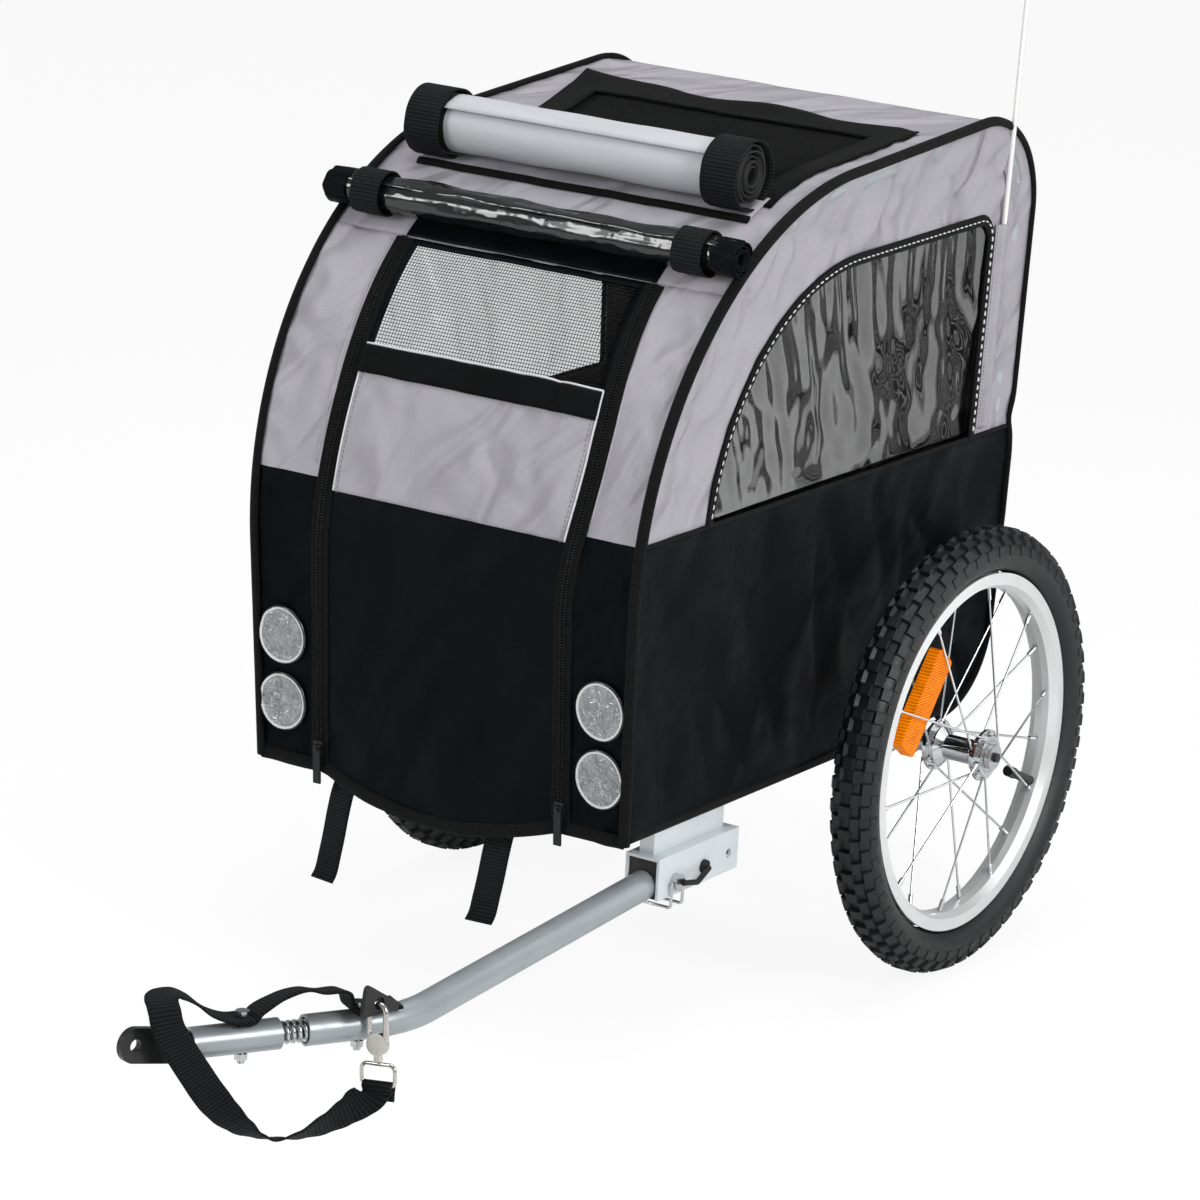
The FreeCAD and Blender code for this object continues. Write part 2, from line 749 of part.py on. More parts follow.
# Rolled covers, each lying on its straps on the front arc: the grey roof cover and the clear rain cover.
roll_lift = size("roll_strap") + size("seam_gap")
rain_middle = on_front_arc(size("rain_roll_angle"), size("rain_roll_radius") + roll_lift)
roof_middle = on_front_arc(size("roof_roll_angle"), size("roof_roll_radius") + roll_lift)
node(rod("rain_cover_roll", "rain_roll_radius", "2 * rain_roll_half",
         rain_middle - ALONG_X * size("rain_roll_half"), ALONG_X), "rain_cover_roll")
roof_start_end = roof_middle - ALONG_X * size("roof_roll_half")
node(cut("roof_cover_roll", rod("roof_roll", "roof_roll_radius", "2 * roof_roll_half", roof_start_end, ALONG_X),
         rod("roof_core", "roof_roll_core", "2 * roof_roll_half", roof_start_end, ALONG_X)), "roof_cover_roll")


def roll_strap(kind, middle, x):
    """A strap closed round one end of a roll."""
    start = middle + ALONG_X * (x - size("roll_strap_width") / 2)
    band = rod(kind + "_band", f"{kind}_roll_radius + roll_strap", "roll_strap_width", start, ALONG_X)
    return cut(kind + "_strap", band, rod(kind + "_band_bore", f"{kind}_roll_radius", "roll_strap_width",
                                          start, ALONG_X))


node(group("roll_straps", *[roll_strap(kind, middle, side * size(kind + "_strap_x"))
                            for kind, middle in (("rain", rain_middle), ("roof", roof_middle))
                            for side in SIDE_NAMES]), "roll_straps")


def on_front(height, proud):
    """Point over the straight lower front at a height, standing proud of the cloth."""
    front_top = cabin_corners(0)["front_top"]
    return front_top + down_front * ((front_top.z - height) / math.cos(lean)) + front_out * proud


front_out = Vector(0, -math.cos(lean), -math.sin(lean))

# Round reflectors sewn to the front strips, two on each side.
discs = []
for side, name in SIDE_NAMES.items():
    for level in ("disc_high", "disc_low"):
        spot = on_front(size(level), size("trim_gap")) + ALONG_X * (side * size("disc_x"))
        discs.append(rod(f"{name}_{level}", "disc_radius", "disc_thick", spot, front_out))
node(group("front_reflectors", *discs), "front_reflectors")

# Two webbing straps that hang from the front floor tube, each a flat strap with a slight curl at its end.
CURL_SHARES = [(0, 0), (0.45, 0.25), (0.8, 0), (1, -0.75)]


def door_strap(x):
    """A hanging strap: its drop and its lean are shares of its length and width."""
    top = Vector(x, frame_at["front_low"].y, frame_at["front_low"].z - size("frame_radius") - size("seam_gap"))
    stations = []
    for drop_share, lean_share in CURL_SHARES:
        point = top - UP * (drop_share * size("door_strap_drop")) - ALONG_Y * (lean_share * size("door_strap_tuck"))
        stations.append((point, Vector(ALONG_X), Vector(ALONG_Y)))
    return made("door_strap", ribbon(stations, size("door_strap_width"), size("door_strap_thick")))


node(group("door_straps", *[door_strap(size(alias)) for alias in ("door_strap_near_x", "door_strap_far_x")]),
     "door_straps")

# Zip sliders at the foot of the two zips, each with a pull tab that hangs from it on a pin.
front_turn = Rotation(ALONG_X, size("front_lean"))
slider_x = door_half - size("slider_width") / 2
for side, name in SIDE_NAMES.items():
    foot = on_front(size("slider_height"), size("running_gap")) + ALONG_X * (side * slider_x)
    slider_place = Placement(foot, front_turn)
    corner = Vector(-size("slider_width") / 2, -size("slider_thick"), 0)
    block = box(name + "_slider_block", "slider_width", "slider_thick", "slider_length", corner)
    pin_out = size("slider_thick") + size("running_gap") + size("pull_thick") / 2
    pin_base = Vector(0, -size("slider_thick"), size("slider_length") / 2)
    pin_reach = "running_gap + pull_thick + running_gap"
    pin = rod(name + "_slider_pin", "pull_pin", pin_reach, pin_base, -ALONG_Y)
    pin_top = pin_base - ALONG_Y * (size("pull_thick") + 2 * size("running_gap"))
    cap = rod(name + "_slider_cap", "2 * pull_pin", "pull_pin", pin_top, -ALONG_Y)
    slider = node(joined(name + "_zip_slider", block, pin, cap), name + "_zip_slider")
    slider.Placement = slider_place
    tab_corner = Vector(-size("pull_width") / 2, -size("slider_thick") - size("running_gap") - size("pull_thick"),
                        size("slider_length") / 2 + size("pull_width") / 2 - size("pull_length"))
    tab = box(name + "_pull_tab", "pull_width", "pull_thick", "pull_length", tab_corner)
    eye = rod(name + "_pull_eye", "pull_pin + running_gap", "2 * overrun",
              pin_base + ALONG_Y * size("overrun"), -ALONG_Y)
    pull = node(cut(name + "_zip_pull", tab, eye), name + "_zip_pull")
    pull.Placement = slider_place

# Safety flag: a pole that stands in a cloth sleeve on the left side, with a pennant near its top.
sleeve_spot = Vector(size("trim_gap"), axle.y + size("sleeve_behind") - size("sleeve_width") / 2,
                     size("sleeve_low") - size("skin_bottom"))
sleeve_box = box("sleeve_box", "sleeve_thick", "sleeve_width", "sleeve_length", sleeve_spot)
pole_foot = sleeve_spot + Vector(size("sleeve_thick") / 2, size("sleeve_width") / 2, size("sleeve_floor"))
sleeve_bore = rod("sleeve_bore", "pole_radius + running_gap", "sleeve_length", pole_foot)
sleeve = node(cut("flag_sleeve", sleeve_box, sleeve_bore), "flag_sleeve")
sleeve.Placement = side_place(LEFT)
pole_start = pole_foot + UP * size("seam_gap")
pole = rod("flag_pole", "pole_radius", "pole_length", pole_start)
pole_tip = pole_start + UP * size("pole_length")
pennant_half = ALONG_X * (size("pennant_thick") / 2)
pennant_face = Part.Face(polygon([
    pole_tip - pennant_half, pole_tip - pennant_half - UP * size("pennant_height"),
    pole_tip - pennant_half + ALONG_Y * size("pennant_length") - UP * (size("pennant_height") / 2)]))
pennant_cloth = extruded("pennant_cloth", pennant_face, ALONG_X, "pennant_thick")
hem_base = pole_tip - UP * size("pennant_height")
pennant_hem = rod("pennant_sleeve", "pole_radius + pennant_hem", "pennant_height", hem_base)
pennant = cut("pennant", joined("pennant_sewn", pennant_cloth, pennant_hem),
              rod("pennant_bore", "pole_radius", "pennant_height + overrun", hem_base))
flag = node(group("safety_flag", pole, pennant), "safety_flag")
flag.Placement = side_place(LEFT)

# Wheels. Each piece is drawn about the wheel's own centre with its outer side towards +X.
# The valve and the spoke reflector stand where the photograph shows them.


def wheel_place(side):
    """Centre of one wheel, with the wheel's outer side turned outwards."""
    return Placement(axle + ALONG_X * (side * half_track), Rotation(UP, 0 if side == LEFT else 180))


def around(angle, radius, x=0):
    """Point at an angle and radius round the wheel."""
    turn = math.radians(angle)
    return Vector(x, radius * math.cos(turn), radius * math.sin(turn))


def profile(points):
    """Closed outline through points of (place along the axle, radius)."""
    return polygon([Vector(x, 0, radius) for x, radius in points])


def mirrored(points):
    """An outline's outer half followed by its inner half."""
    return points + [(-x, radius) for x, radius in reversed(points)]


def hub():
    """Turned hub with two drilled flanges and a seat for a bearing in each end."""
    flange_out = size("flange_half_spacing") + size("flange_thick") / 2
    flange_in = size("flange_half_spacing") - size("flange_thick") / 2
    seat = size("bearing_radius") + size("running_gap")
    seat_depth = size("hub_half_length") - size("bearing_width") - size("running_gap")
    half = [(0, size("hub_barrel_radius")), (seat_depth - size("bearing_width"), size("hub_barrel_radius")),
            (seat_depth - size("flange_thick"), size("hub_end_radius")), (flange_in, size("hub_end_radius")),
            (flange_in, size("flange_radius")), (flange_out, size("flange_radius")),
            (flange_out, size("hub_end_radius")), (size("hub_half_length"), size("hub_end_radius")),
            (size("hub_half_length"), seat), (seat_depth, seat), (seat_depth, size("hub_bore_radius"))]
    return turned("hub_turning", profile(half[1:] + [(-x, radius) for x, radius in reversed(half[1:])]))


def spoke_layout():
    """For each spoke: rim angle, hub angle, flange side and whether it lies outside its flange."""
    count = int(size("spoke_count"))
    for index in range(count):
        rim_angle = 360 * (index + 0.5) / count
        leading = index % 4 < 2
        hub_angle = rim_angle - size("spoke_slant") if leading else rim_angle + size("spoke_slant")
        yield rim_angle, hub_angle, LEFT if index % 2 == 0 else RIGHT, leading


def spokes():
    """Spokes with their heads in the flanges, and a nipple on the rim end of each."""
    solids = []
    nipple_end = rim_radius - size("rim_depth") - size("seam_gap")
    for rim_angle, hub_angle, flange, leading in spoke_layout():
        flange_x = flange * size("flange_half_spacing")
        outward = flange if leading else -flange
        bed = size("flange_thick") / 2 + size("spoke_radius") + size("spoke_bed")
        elbow = around(hub_angle, size("spoke_circle"), flange_x + outward * bed)
        rim_spot = around(rim_angle, nipple_end, flange * size("spoke_rim_offset"))
        way = (rim_spot - elbow).normalize()
        nipple_foot = rim_spot - way * size("nipple_length")
        shank = Part.makeCylinder(size("spoke_radius"), (nipple_foot - elbow).Length, elbow, way)
        through = bed + size("flange_thick") / 2 + size("seam_gap")
        neck = Part.makeCylinder(size("spoke_radius"), through, elbow, ALONG_X * -outward)
        head_spot = elbow - ALONG_X * (outward * through)
        head = Part.makeCylinder(size("spoke_head_radius"), size("spoke_head"), head_spot, ALONG_X * -outward)
        knee = Part.makeSphere(size("spoke_radius"), elbow)
        solids.append(shank.multiFuse([neck, knee, head]).removeSplitter())
        solids.append(Part.makeCylinder(size("nipple_radius"), size("nipple_length"), nipple_foot, way))
    return Part.makeCompound(solids)


def rim():
    """Alloy rim: a deep channel with a rounded bed."""
    outer, width, wall = rim_radius, size("rim_half_width"), size("rim_wall")
    bed = outer - size("rim_depth")
    shoulder = bed + size("rim_shoulder")
    inner_half = [(0, bed), (width / 2, bed + wall / 2), (width, shoulder), (width, outer)]
    channel_half = [(width - wall, outer), (width - wall, shoulder + wall), (width / 2, bed + 2 * wall), (0, bed + 2 * wall)]
    half = inner_half + channel_half
    return turned("rim_rolling", profile(half[:-1] + [(-x, radius) for x, radius in reversed(half[1:-1])]))


def tyre_outline():
    """Tyre section: beads inside the rim, bulging walls and a crowned tread."""
    wall = size("tyre_wall")
    bead_x = size("rim_half_width") - size("rim_wall") - size("seam_gap")
    bead_low = rim_radius - size("bead_depth")
    lip = rim_radius + 2 * size("seam_gap")
    bulge = size("tyre_half_width")
    mid = (lip + size("tyre_radius")) / 2
    shoulder_x = bulge * shoulder_share
    shoulder = size("tyre_radius") - wall

    def at(x, radius):
        return Vector(x, 0, radius)

    def side_edges(sign):
        outer = Part.Arc(at(sign * bead_x, lip), at(sign * bulge, mid), at(sign * shoulder_x, shoulder)).toShape()
        inner = Part.Arc(at(sign * (bead_x - wall / 2), lip), at(sign * (bulge - wall), mid),
                         at(sign * (shoulder_x - wall / 2), shoulder - wall)).toShape()
        foot = [at(sign * bead_x, lip), at(sign * bead_x, bead_low), at(sign * (bead_x - wall / 2), bead_low),
                at(sign * (bead_x - wall / 2), lip)]
        return outer, inner, Part.makePolygon(foot).Edges

    right_outer, right_inner, right_foot = side_edges(1)
    left_outer, left_inner, left_foot = side_edges(-1)
    tread = Part.Arc(at(shoulder_x, shoulder), at(0, size("tyre_radius")), at(-shoulder_x, shoulder)).toShape()
    lining = Part.Arc(at(shoulder_x - wall / 2, shoulder - wall), at(0, size("tyre_radius") - wall),
                      at(wall / 2 - shoulder_x, shoulder - wall)).toShape()
    edges = [right_outer, right_inner, left_outer, left_inner, tread, lining] + right_foot + left_foot
    return Part.Wire(Part.__sortEdges__(edges))


shoulder_share = 0.72
for side, name in SIDE_NAMES.items():
    valve_way = around(size("valve_angle"), 1)
    tube_circle = (rim_radius + size("tyre_radius") - size("tyre_wall")) / 2
    rubber = doc.addObject("Part::Torus", name + "_tube_rubber")
    rubber.setExpression("Radius2", formula("tube_radius"))
    rubber.Radius1 = tube_circle
    air = doc.addObject("Part::Torus", name + "_tube_air")
    air.setExpression("Radius2", formula("tube_radius - tube_wall"))
    air.Radius1 = tube_circle
    across = Placement(ORIGIN, Rotation(UP, ALONG_X))
    rubber.Placement, air.Placement = across, across
    valve_tip = rim_radius - size("rim_depth") - size("valve_reach")
    stem_length = tube_circle - size("tube_radius") + size("tube_wall") / 2 - valve_tip
    stem = made(name + "_valve_stem", Part.makeCylinder(size("valve_radius"), stem_length, valve_way * valve_tip, valve_way))
    cap = rod(name + "_valve_cap", "valve_cap_radius", "valve_cap", valve_way * valve_tip, -valve_way)
    inner_tube = cut(name + "_tube_skin", joined(name + "_tube_and_stem", rubber, stem), air)
    valve_hole = made(name + "_valve_hole", Part.makeCylinder(
        size("valve_radius") + size("seam_gap"), rim_radius, ORIGIN, valve_way))
    drillings = []
    for rim_angle, hub_angle, flange, leading in spoke_layout():
        spot = around(hub_angle, size("spoke_circle"), flange * size("flange_half_spacing") - size("flange_thick"))
        drillings.append(Part.makeCylinder(size("spoke_radius") + size("seam_gap"), 2 * size("flange_thick"), spot, ALONG_X))
    drilled = made(name + "_flange_holes", Part.makeCompound(drillings))
    plate = box(name + "_reflector_block", "reflector_thick", "reflector_width", "reflector_length",
                Vector(-size("reflector_thick") / 2, size("reflector_circle") - size("reflector_width") / 2,
                       -size("reflector_length") / 2))
    rounded = doc.addObject("Part::Fillet", name + "_reflector_rounded")
    rounded.Base = plate
    doc.recompute()
    long_edges = [index + 1 for index, edge in enumerate(plate.Shape.Edges)
                  if abs(edge.tangentAt(edge.FirstParameter).x) > math.cos(lean)]
    rounded.Edges = [(index, size("reflector_round"), size("reflector_round")) for index in long_edges]
    mounted = group(name + "_reflector_mounted", rounded)
    mounted.Placement = Placement(ORIGIN, Rotation(ALONG_X, size("reflector_angle")))
    pieces = {
        "tyre": turned(name + "_tyre", tyre_outline()),
        "inner_tube": group(name + "_inner_tube", inner_tube, cap),
        "rim": cut(name + "_rim", rim(), valve_hole),
        "spokes": made(name + "_spokes", spokes()),
        "hub": cut(name + "_hub", hub(), drilled),
        "reflector": group(name + "_reflector", mounted),
    }
    for kind, piece in pieces.items():
        node(piece, f"{name}_{kind}")
        piece.Placement = wheel_place(side)

# Wheel axles: a shaft with a collar against the inner bearing and a head outside the outer one. The
# push button in the head works the axle's lock.
axles, bearings = [], []
for side, name in SIDE_NAMES.items():
    shaft_start = size("axle_tube_half") - size("axle_insert") - half_track
    head_start = size("hub_half_length") + size("running_gap")
    collar_start = size("axle_tube_half") + size("running_gap") - half_track
    collar_end = -size("hub_half_length")
    shaft = made(name + "_shaft", Part.makeCylinder(
        size("axle_radius"), head_start - shaft_start, Vector(shaft_start, 0, 0), ALONG_X))
    collar = made(name + "_collar", Part.makeCylinder(
        size("collar_radius"), collar_end - collar_start, Vector(collar_start, 0, 0), ALONG_X))
    head = rod(name + "_head", "axle_head_radius", "axle_head", Vector(head_start, 0, 0), ALONG_X)
    head_face = head_start + size("axle_head")
    bore_floor = head_face + size("button_proud") - size("button_length") - size("button_travel") - size("running_gap")
    bore = rod(name + "_button_bore", "button_radius + running_gap", "button_length + overrun",
               Vector(bore_floor, 0, 0), ALONG_X)
    axle_piece = cut(name + "_axle", joined(name + "_axle_turning", shaft, collar, head), bore)
    axle_piece.Placement = wheel_place(side)
    axles.append(axle_piece)
    button_start = Vector(head_face + size("button_proud") - size("button_length"), 0, 0)
    button = node(rod(name + "_axle_button", "button_radius", "button_length", button_start, ALONG_X),
                  name + "_axle_button")
    button.Placement = wheel_place(side).multiply(button.Placement)
    for start in (-size("hub_half_length"), size("hub_half_length") - size("bearing_width")):
        spot = Vector(start, 0, 0)
        race = cut(name + "_bearing", rod(name + "_race", "bearing_radius", "bearing_width", spot, ALONG_X),
                   rod(name + "_race_bore", "axle_radius", "bearing_width", spot, ALONG_X))
        race.Placement = wheel_place(side)
        bearings.append(race)
node(group("wheel_axles", *axles), "wheel_axles")
node(group("wheel_bearings", *bearings), "wheel_bearings")

# Drawbar bracket: a steel channel, open below, welded under the left floor rail on a spacer.
bracket_front = axle.y - size("bracket_ahead")
channel = body("bracket_channel", "XZ_Plane", [
    ("-0.5 * bracket_width", "bracket_low"), ("-0.5 * bracket_width", "bracket_high"),
    ("0.5 * bracket_width", "bracket_high"), ("0.5 * bracket_width", "bracket_low"),
    ("0.5 * bracket_width - bracket_wall", "bracket_low"),
    ("0.5 * bracket_width - bracket_wall", "bracket_high - bracket_wall"),
    ("-0.5 * bracket_width + bracket_wall", "bracket_high - bracket_wall"),
    ("-0.5 * bracket_width + bracket_wall", "bracket_low")], "bracket_length", True)
channel.Placement = Placement(Vector(size("bracket_x"), bracket_front, 0), Rotation())
spacer_low = Vector(rail_middle.x - size("spacer_width") / 2, bracket_front + size("spacer_inset"),
                    size("bracket_high"))
spacer_high = Vector(rail_middle.x + size("spacer_width") / 2,
                     bracket_front + size("bracket_length") - size("spacer_inset"), rail_middle.z)
rail_path = side_frame_path()
rail_path.translate(SIDE_DROP - ALONG_X * frame_inset)
rail_solid = made("rail_solid", pipe(rail_path, size("frame_radius")), side_place(LEFT))
spacer = cut("bracket_spacer", region("spacer_block", spacer_low, spacer_high), rail_solid)
side_rod_start = Vector(size("bracket_x") - size("bracket_width"), 0, 0)
pin_y = axle.y - size("pin_ahead")
drawbar_fall = (size("drawbar_rear_height") - size("bend_height")) / (size("bend_ahead") - size("drawbar_rear_ahead"))
pin_z = size("drawbar_rear_height") - (size("pin_ahead") - size("drawbar_rear_ahead")) * drawbar_fall
pin_hole = rod("bracket_pin_hole", "pin_radius", "2 * bracket_width", side_rod_start + Vector(0, pin_y, pin_z), ALONG_X)
spare_hole = rod("bracket_spare_hole", "bracket_hole", "2 * bracket_width", side_rod_start + Vector(
    0, bracket_front + size("bracket_length") - size("bracket_hole_inset"),
    size("bracket_low") + size("bracket_hole_rise")), ALONG_X)
rivet_y = axle.y - size("rivet_ahead")
rivet_z = size("bracket_low") + size("rivet_rise")
rivet_hole = rod("bracket_rivet_hole", "rivet_radius", "bracket_width", Vector(
    size("bracket_x"), rivet_y, rivet_z), ALONG_X)
node(cut("drawbar_bracket", joined("bracket_welded", channel, spacer), pin_hole, spare_hole, rivet_hole),
     "drawbar_bracket")

# Drawbar: one tube from the bracket, falling slightly, then bent in towards the bicycle.
bend_corner = Vector(size("bracket_x"), axle.y - size("bend_ahead"), size("bend_height"))
hitch_place = Placement(bend_corner, Rotation(UP, -90 - size("hitch_turn")))
drawbar_rear = Vector(size("bracket_x"), axle.y - size("drawbar_rear_ahead"), size("drawbar_rear_height"))
drawbar_path = bent_path([drawbar_rear, bend_corner, hitch_place.multVec(ALONG_X * size("drawbar_end"))],
                         size("bend_radius"))
rear_bolt_x = size("drawbar_end") - size("bolt_inset")
bolt_hole_base = Vector(rear_bolt_x, 0, -2 * size("drawbar_radius"))
bolt_hole = rod("drawbar_bolt_hole", "bolt_radius", "4 * drawbar_radius", hitch_place.multVec(bolt_hole_base))
drawbar_tube = made("drawbar_tube", hollow_pipe(drawbar_path, size("drawbar_radius"), size("drawbar_wall")))
node(cut("drawbar", drawbar_tube, bolt_hole, pin_hole), "drawbar")

# Plastic block that centres the drawbar in the mouth of the bracket.
block_low = Vector(size("bracket_x") - size("bracket_width") / 2 + size("bracket_wall") + size("trim_gap"),
                   bracket_front + size("block_inset"), size("bracket_low") + size("trim_gap"))
block_high = Vector(size("bracket_x") + size("bracket_width") / 2 - size("bracket_wall") - size("trim_gap"),
                    bracket_front + size("block_inset") + size("block_length"),
                    size("bracket_high") - size("bracket_wall") - size("trim_gap"))
drawbar_solid = made("drawbar_solid", pipe(drawbar_path, size("drawbar_radius")))
node(cut("drawbar_block", region("block_blank", block_low, block_high), drawbar_solid, pin_hole), "drawbar_block")

# Lock pin through bracket, block and drawbar, with a wire bail that closes under the bar onto its tip.
bracket_inner = size("bracket_x") - size("bracket_width") / 2
bracket_outer = size("bracket_x") + size("bracket_width") / 2
pin_head_start = Vector(bracket_outer + size("trim_gap"), pin_y, pin_z)
pin_shank = rod("pin_shank", "pin_radius", "bracket_width + trim_gap + pin_tip", pin_head_start, -ALONG_X)
pin_knob = rod("pin_knob", "pin_head_radius", "pin_head", pin_head_start, ALONG_X)
bail_pivot = pin_head_start + ALONG_X * (size("pin_head") / 2)
pivot_bore = rod("bail_bore", "bail_radius + running_gap", "4 * pin_head_radius",
                 bail_pivot - ALONG_Y * (2 * size("pin_head_radius")), ALONG_Y)
node(cut("lock_pin", joined("pin_turning", pin_shank, pin_knob), pivot_bore), "lock_pin")
bail_half = size("pin_head_radius") + size("bail_radius") + size("running_gap")
tip_x = bracket_inner - size("pin_tip") / 2
low_z = size("bracket_low") - size("bail_drop")


def bail_points(sign):
    """One leg of the bail, from its pivot end down under the bar and up to the underside of the pin's tip."""
    y = pin_y + sign * bail_half
    tip_z = pin_z - size("pin_radius") - size("bail_radius") - size("running_gap")
    return [Vector(bail_pivot.x, y, pin_z), Vector(bail_pivot.x, y, low_z), Vector(tip_x, y, low_z),
            Vector(tip_x, y, tip_z)]


bail_leg = bail_points(1)
bail_run = bail_leg + list(reversed(bail_points(-1)))
bail_wire = pipe(bent_path(bail_run, size("bail_spread") / 2), size("bail_radius"))
bail_stub = Part.makeCylinder(size("bail_radius"), 2 * bail_half, bail_pivot - ALONG_Y * bail_half, ALONG_Y)
ends = [Part.makeSphere(size("bail_radius"), point) for point in (bail_run[0], bail_run[-1])]
node(made("pin_bail", bail_wire.multiFuse([bail_stub] + ends).removeSplitter()), "pin_bail")

# Lanyard that keeps the pin with the bracket: a short cord from the pin's head to a rivet.
rivet_start = Vector(bracket_outer - size("bracket_wall"), rivet_y, rivet_z)
rivet = joined("rivet", rod("rivet_shank", "rivet_radius", "bracket_wall + trim_gap", rivet_start, ALONG_X),
               rod("rivet_head_disc", "2 * rivet_radius", "rivet_head",
                   rivet_start + ALONG_X * (size("bracket_wall") + size("trim_gap")), ALONG_X))
cord_out = size("lanyard_radius") + size("seam_gap")
cord_rivet = rivet_start + ALONG_X * (size("bracket_wall") + size("trim_gap") + size("rivet_head") + cord_out)
cord_pin = pin_head_start + ALONG_X * (size("pin_head") + cord_out)
cord_sag = Vector(cord_pin.x, (cord_pin.y + cord_rivet.y) / 2, cord_pin.z - size("bail_drop") / 2)
cord_path = bent_path([cord_pin, cord_sag, cord_rivet], size("bail_drop") / 2)
cord = made("lanyard_cord", pipe(cord_path, size("lanyard_radius")))
node(group("pin_lanyard", cord, rivet), "pin_lanyard")

# Hitch pieces are drawn along +X from the drawbar's bend, with +Y to the outside, and then placed.


def hitch_node(obj, label):
    """Name a hitch piece and put it on the drawbar's front end."""
    obj.Placement = hitch_place.multiply(obj.Placement)
    return node(obj, label)


def strap_level(layer):
    """Height of the top of a layer of webbing on the tube."""
    return size("drawbar_radius") + layer * (size("strap_thick") + size("seam_gap"))


def spring_bolt(name, x, layers):
    """A bolt through the webbing and a plug in the tube, with its nut below."""
    strap_top = strap_level(layers) + size("trim_gap")
    low = size("drawbar_radius") + size("trim_gap")
    shank_length = strap_top + low + size("nut_height") + size("bolt_radius")
    shank = made(name + "_shank", Part.makeCylinder(size("bolt_radius"), shank_length, Vector(x, 0, strap_top), -UP))
    head = rod(name + "_bolt_head", "bolt_head_radius", "bolt_head", Vector(x, 0, strap_top))
    nut_blank = Part.Face(Part.Wire(Part.makePolygon(
        [Vector(x, 0, -low) + Vector(math.cos(turn), math.sin(turn), 0) * size("bolt_head_radius")
         for turn in [math.radians(60 * corner) for corner in range(7)]])))
    nut = cut(name + "_nut", extruded(name + "_nut_blank", nut_blank, -UP, "nut_height"),
              rod(name + "_nut_bore", "bolt_radius", "nut_height", Vector(x, 0, -low), -UP))
    plug_start = Vector(x - size("plug_length") / 2, 0, 0)
    plug = cut(name + "_plug", rod(name + "_plug_bar", "drawbar_radius - drawbar_wall - plug_gap", "plug_length",
                                   plug_start, ALONG_X),
               rod(name + "_plug_bore", "bolt_radius", "4 * drawbar_radius",
                   Vector(x, 0, -2 * size("drawbar_radius")), UP))
    return group(name, joined(name + "_turning", shank, head), nut, plug)


coupler_start = size("drawbar_end") + size("spring_gap")
coupler_end = coupler_start + size("coupler_length")
front_bolt_x = coupler_start + size("front_bolt_inset")
hitch_node(spring_bolt("rear_spring_bolt", rear_bolt_x, 1), "rear_spring_bolt")
hitch_node(spring_bolt("front_spring_bolt", front_bolt_x, 2), "front_spring_bolt")
coupler = cut("coupler_tube", rod("coupler_bar", "drawbar_radius", "coupler_length", ALONG_X * coupler_start, ALONG_X),
              rod("coupler_bore", "drawbar_radius - drawbar_wall", "coupler_length", ALONG_X * coupler_start, ALONG_X),
              rod("coupler_bolt_hole", "bolt_radius", "4 * drawbar_radius",
                  Vector(front_bolt_x, 0, -2 * size("drawbar_radius"))))
hitch_node(coupler, "coupler_tube")

# Hitch spring: one coil between the two plugs, inside both tube ends.
spring_start = rear_bolt_x + size("plug_length") / 2 + size("spring_wire") + size("seam_gap")
spring_end = front_bolt_x - size("plug_length") / 2 - size("spring_wire") - size("seam_gap")


def coil_point(turn):
    """Point of the coil's centre line after some turns."""
    angle = 2 * math.pi * turn
    run = spring_start + (spring_end - spring_start) * turn / size("spring_turns")
    return Vector(run, size("spring_radius") * math.cos(angle), size("spring_radius") * math.sin(angle))


quarter = 0.25
quarters = int(round(size("spring_turns") / quarter))
coil_edges = [Part.Arc(coil_point(step * quarter), coil_point((step + quarter * 2) * quarter),
                       coil_point((step + 1) * quarter)).toShape() for step in range(quarters)]
coil_path = Part.Wire(coil_edges)
hitch_node(made("hitch_spring", pipe(coil_path, size("spring_wire"))), "hitch_spring")
samples = [coil_point(step / 32) for step in range(int(size("spring_turns")) * 32)]
coil_gap = min((samples[first] - samples[second]).Length for first in range(len(samples))
               for second in range(first + 16, len(samples))) - 2 * size("spring_wire")
print("hitch spring: least gap between its turns", round(coil_gap, 2), "mm")

# Hitch plate: a plug and neck in the coupler's front end, forged into a flat plate with the axle hole.
neck_root = ALONG_X * coupler_end
neck_plug = rod("neck_plug", "drawbar_radius - drawbar_wall - plug_gap", "neck_plug",
                neck_root - ALONG_X * size("neck_plug"), ALONG_X)
neck = rod("neck", "neck_radius", "neck_length", neck_root, ALONG_X)
half_plate = size("plate_width") / 2
plate_ends = [Vector(-size("plate_back"), 0, half_plate), Vector(size("plate_reach"), 0, half_plate),
              Vector(size("plate_reach") + half_plate, 0, 0), Vector(size("plate_reach"), 0, -half_plate),
              Vector(-size("plate_back"), 0, -half_plate)]
plate_wire = Part.Wire([Part.makeLine(plate_ends[0], plate_ends[1]),
                        Part.Arc(plate_ends[1], plate_ends[2], plate_ends[3]).toShape(),
                        Part.makeLine(plate_ends[3], plate_ends[4]), Part.makeLine(plate_ends[4], plate_ends[0])])
plate_blank = extruded("plate_blank", Part.Face(plate_wire), ALONG_Y, "plate_thick", True)
bore_start = Vector(size("plate_reach"), -size("plate_thick"), 0)
plate = cut("plate", plate_blank, rod("plate_bore", "hitch_bore", "2 * plate_thick", bore_start, ALONG_Y))
plate.Placement = Placement(ALONG_X * (coupler_end + size("plate_from_neck")),
                            Rotation(UP, size("plate_turn")).multiply(Rotation(ALONG_Y, -size("plate_pitch"))))
hitch_node(joined("hitch_plate", neck_plug, neck, plate), "hitch_plate")

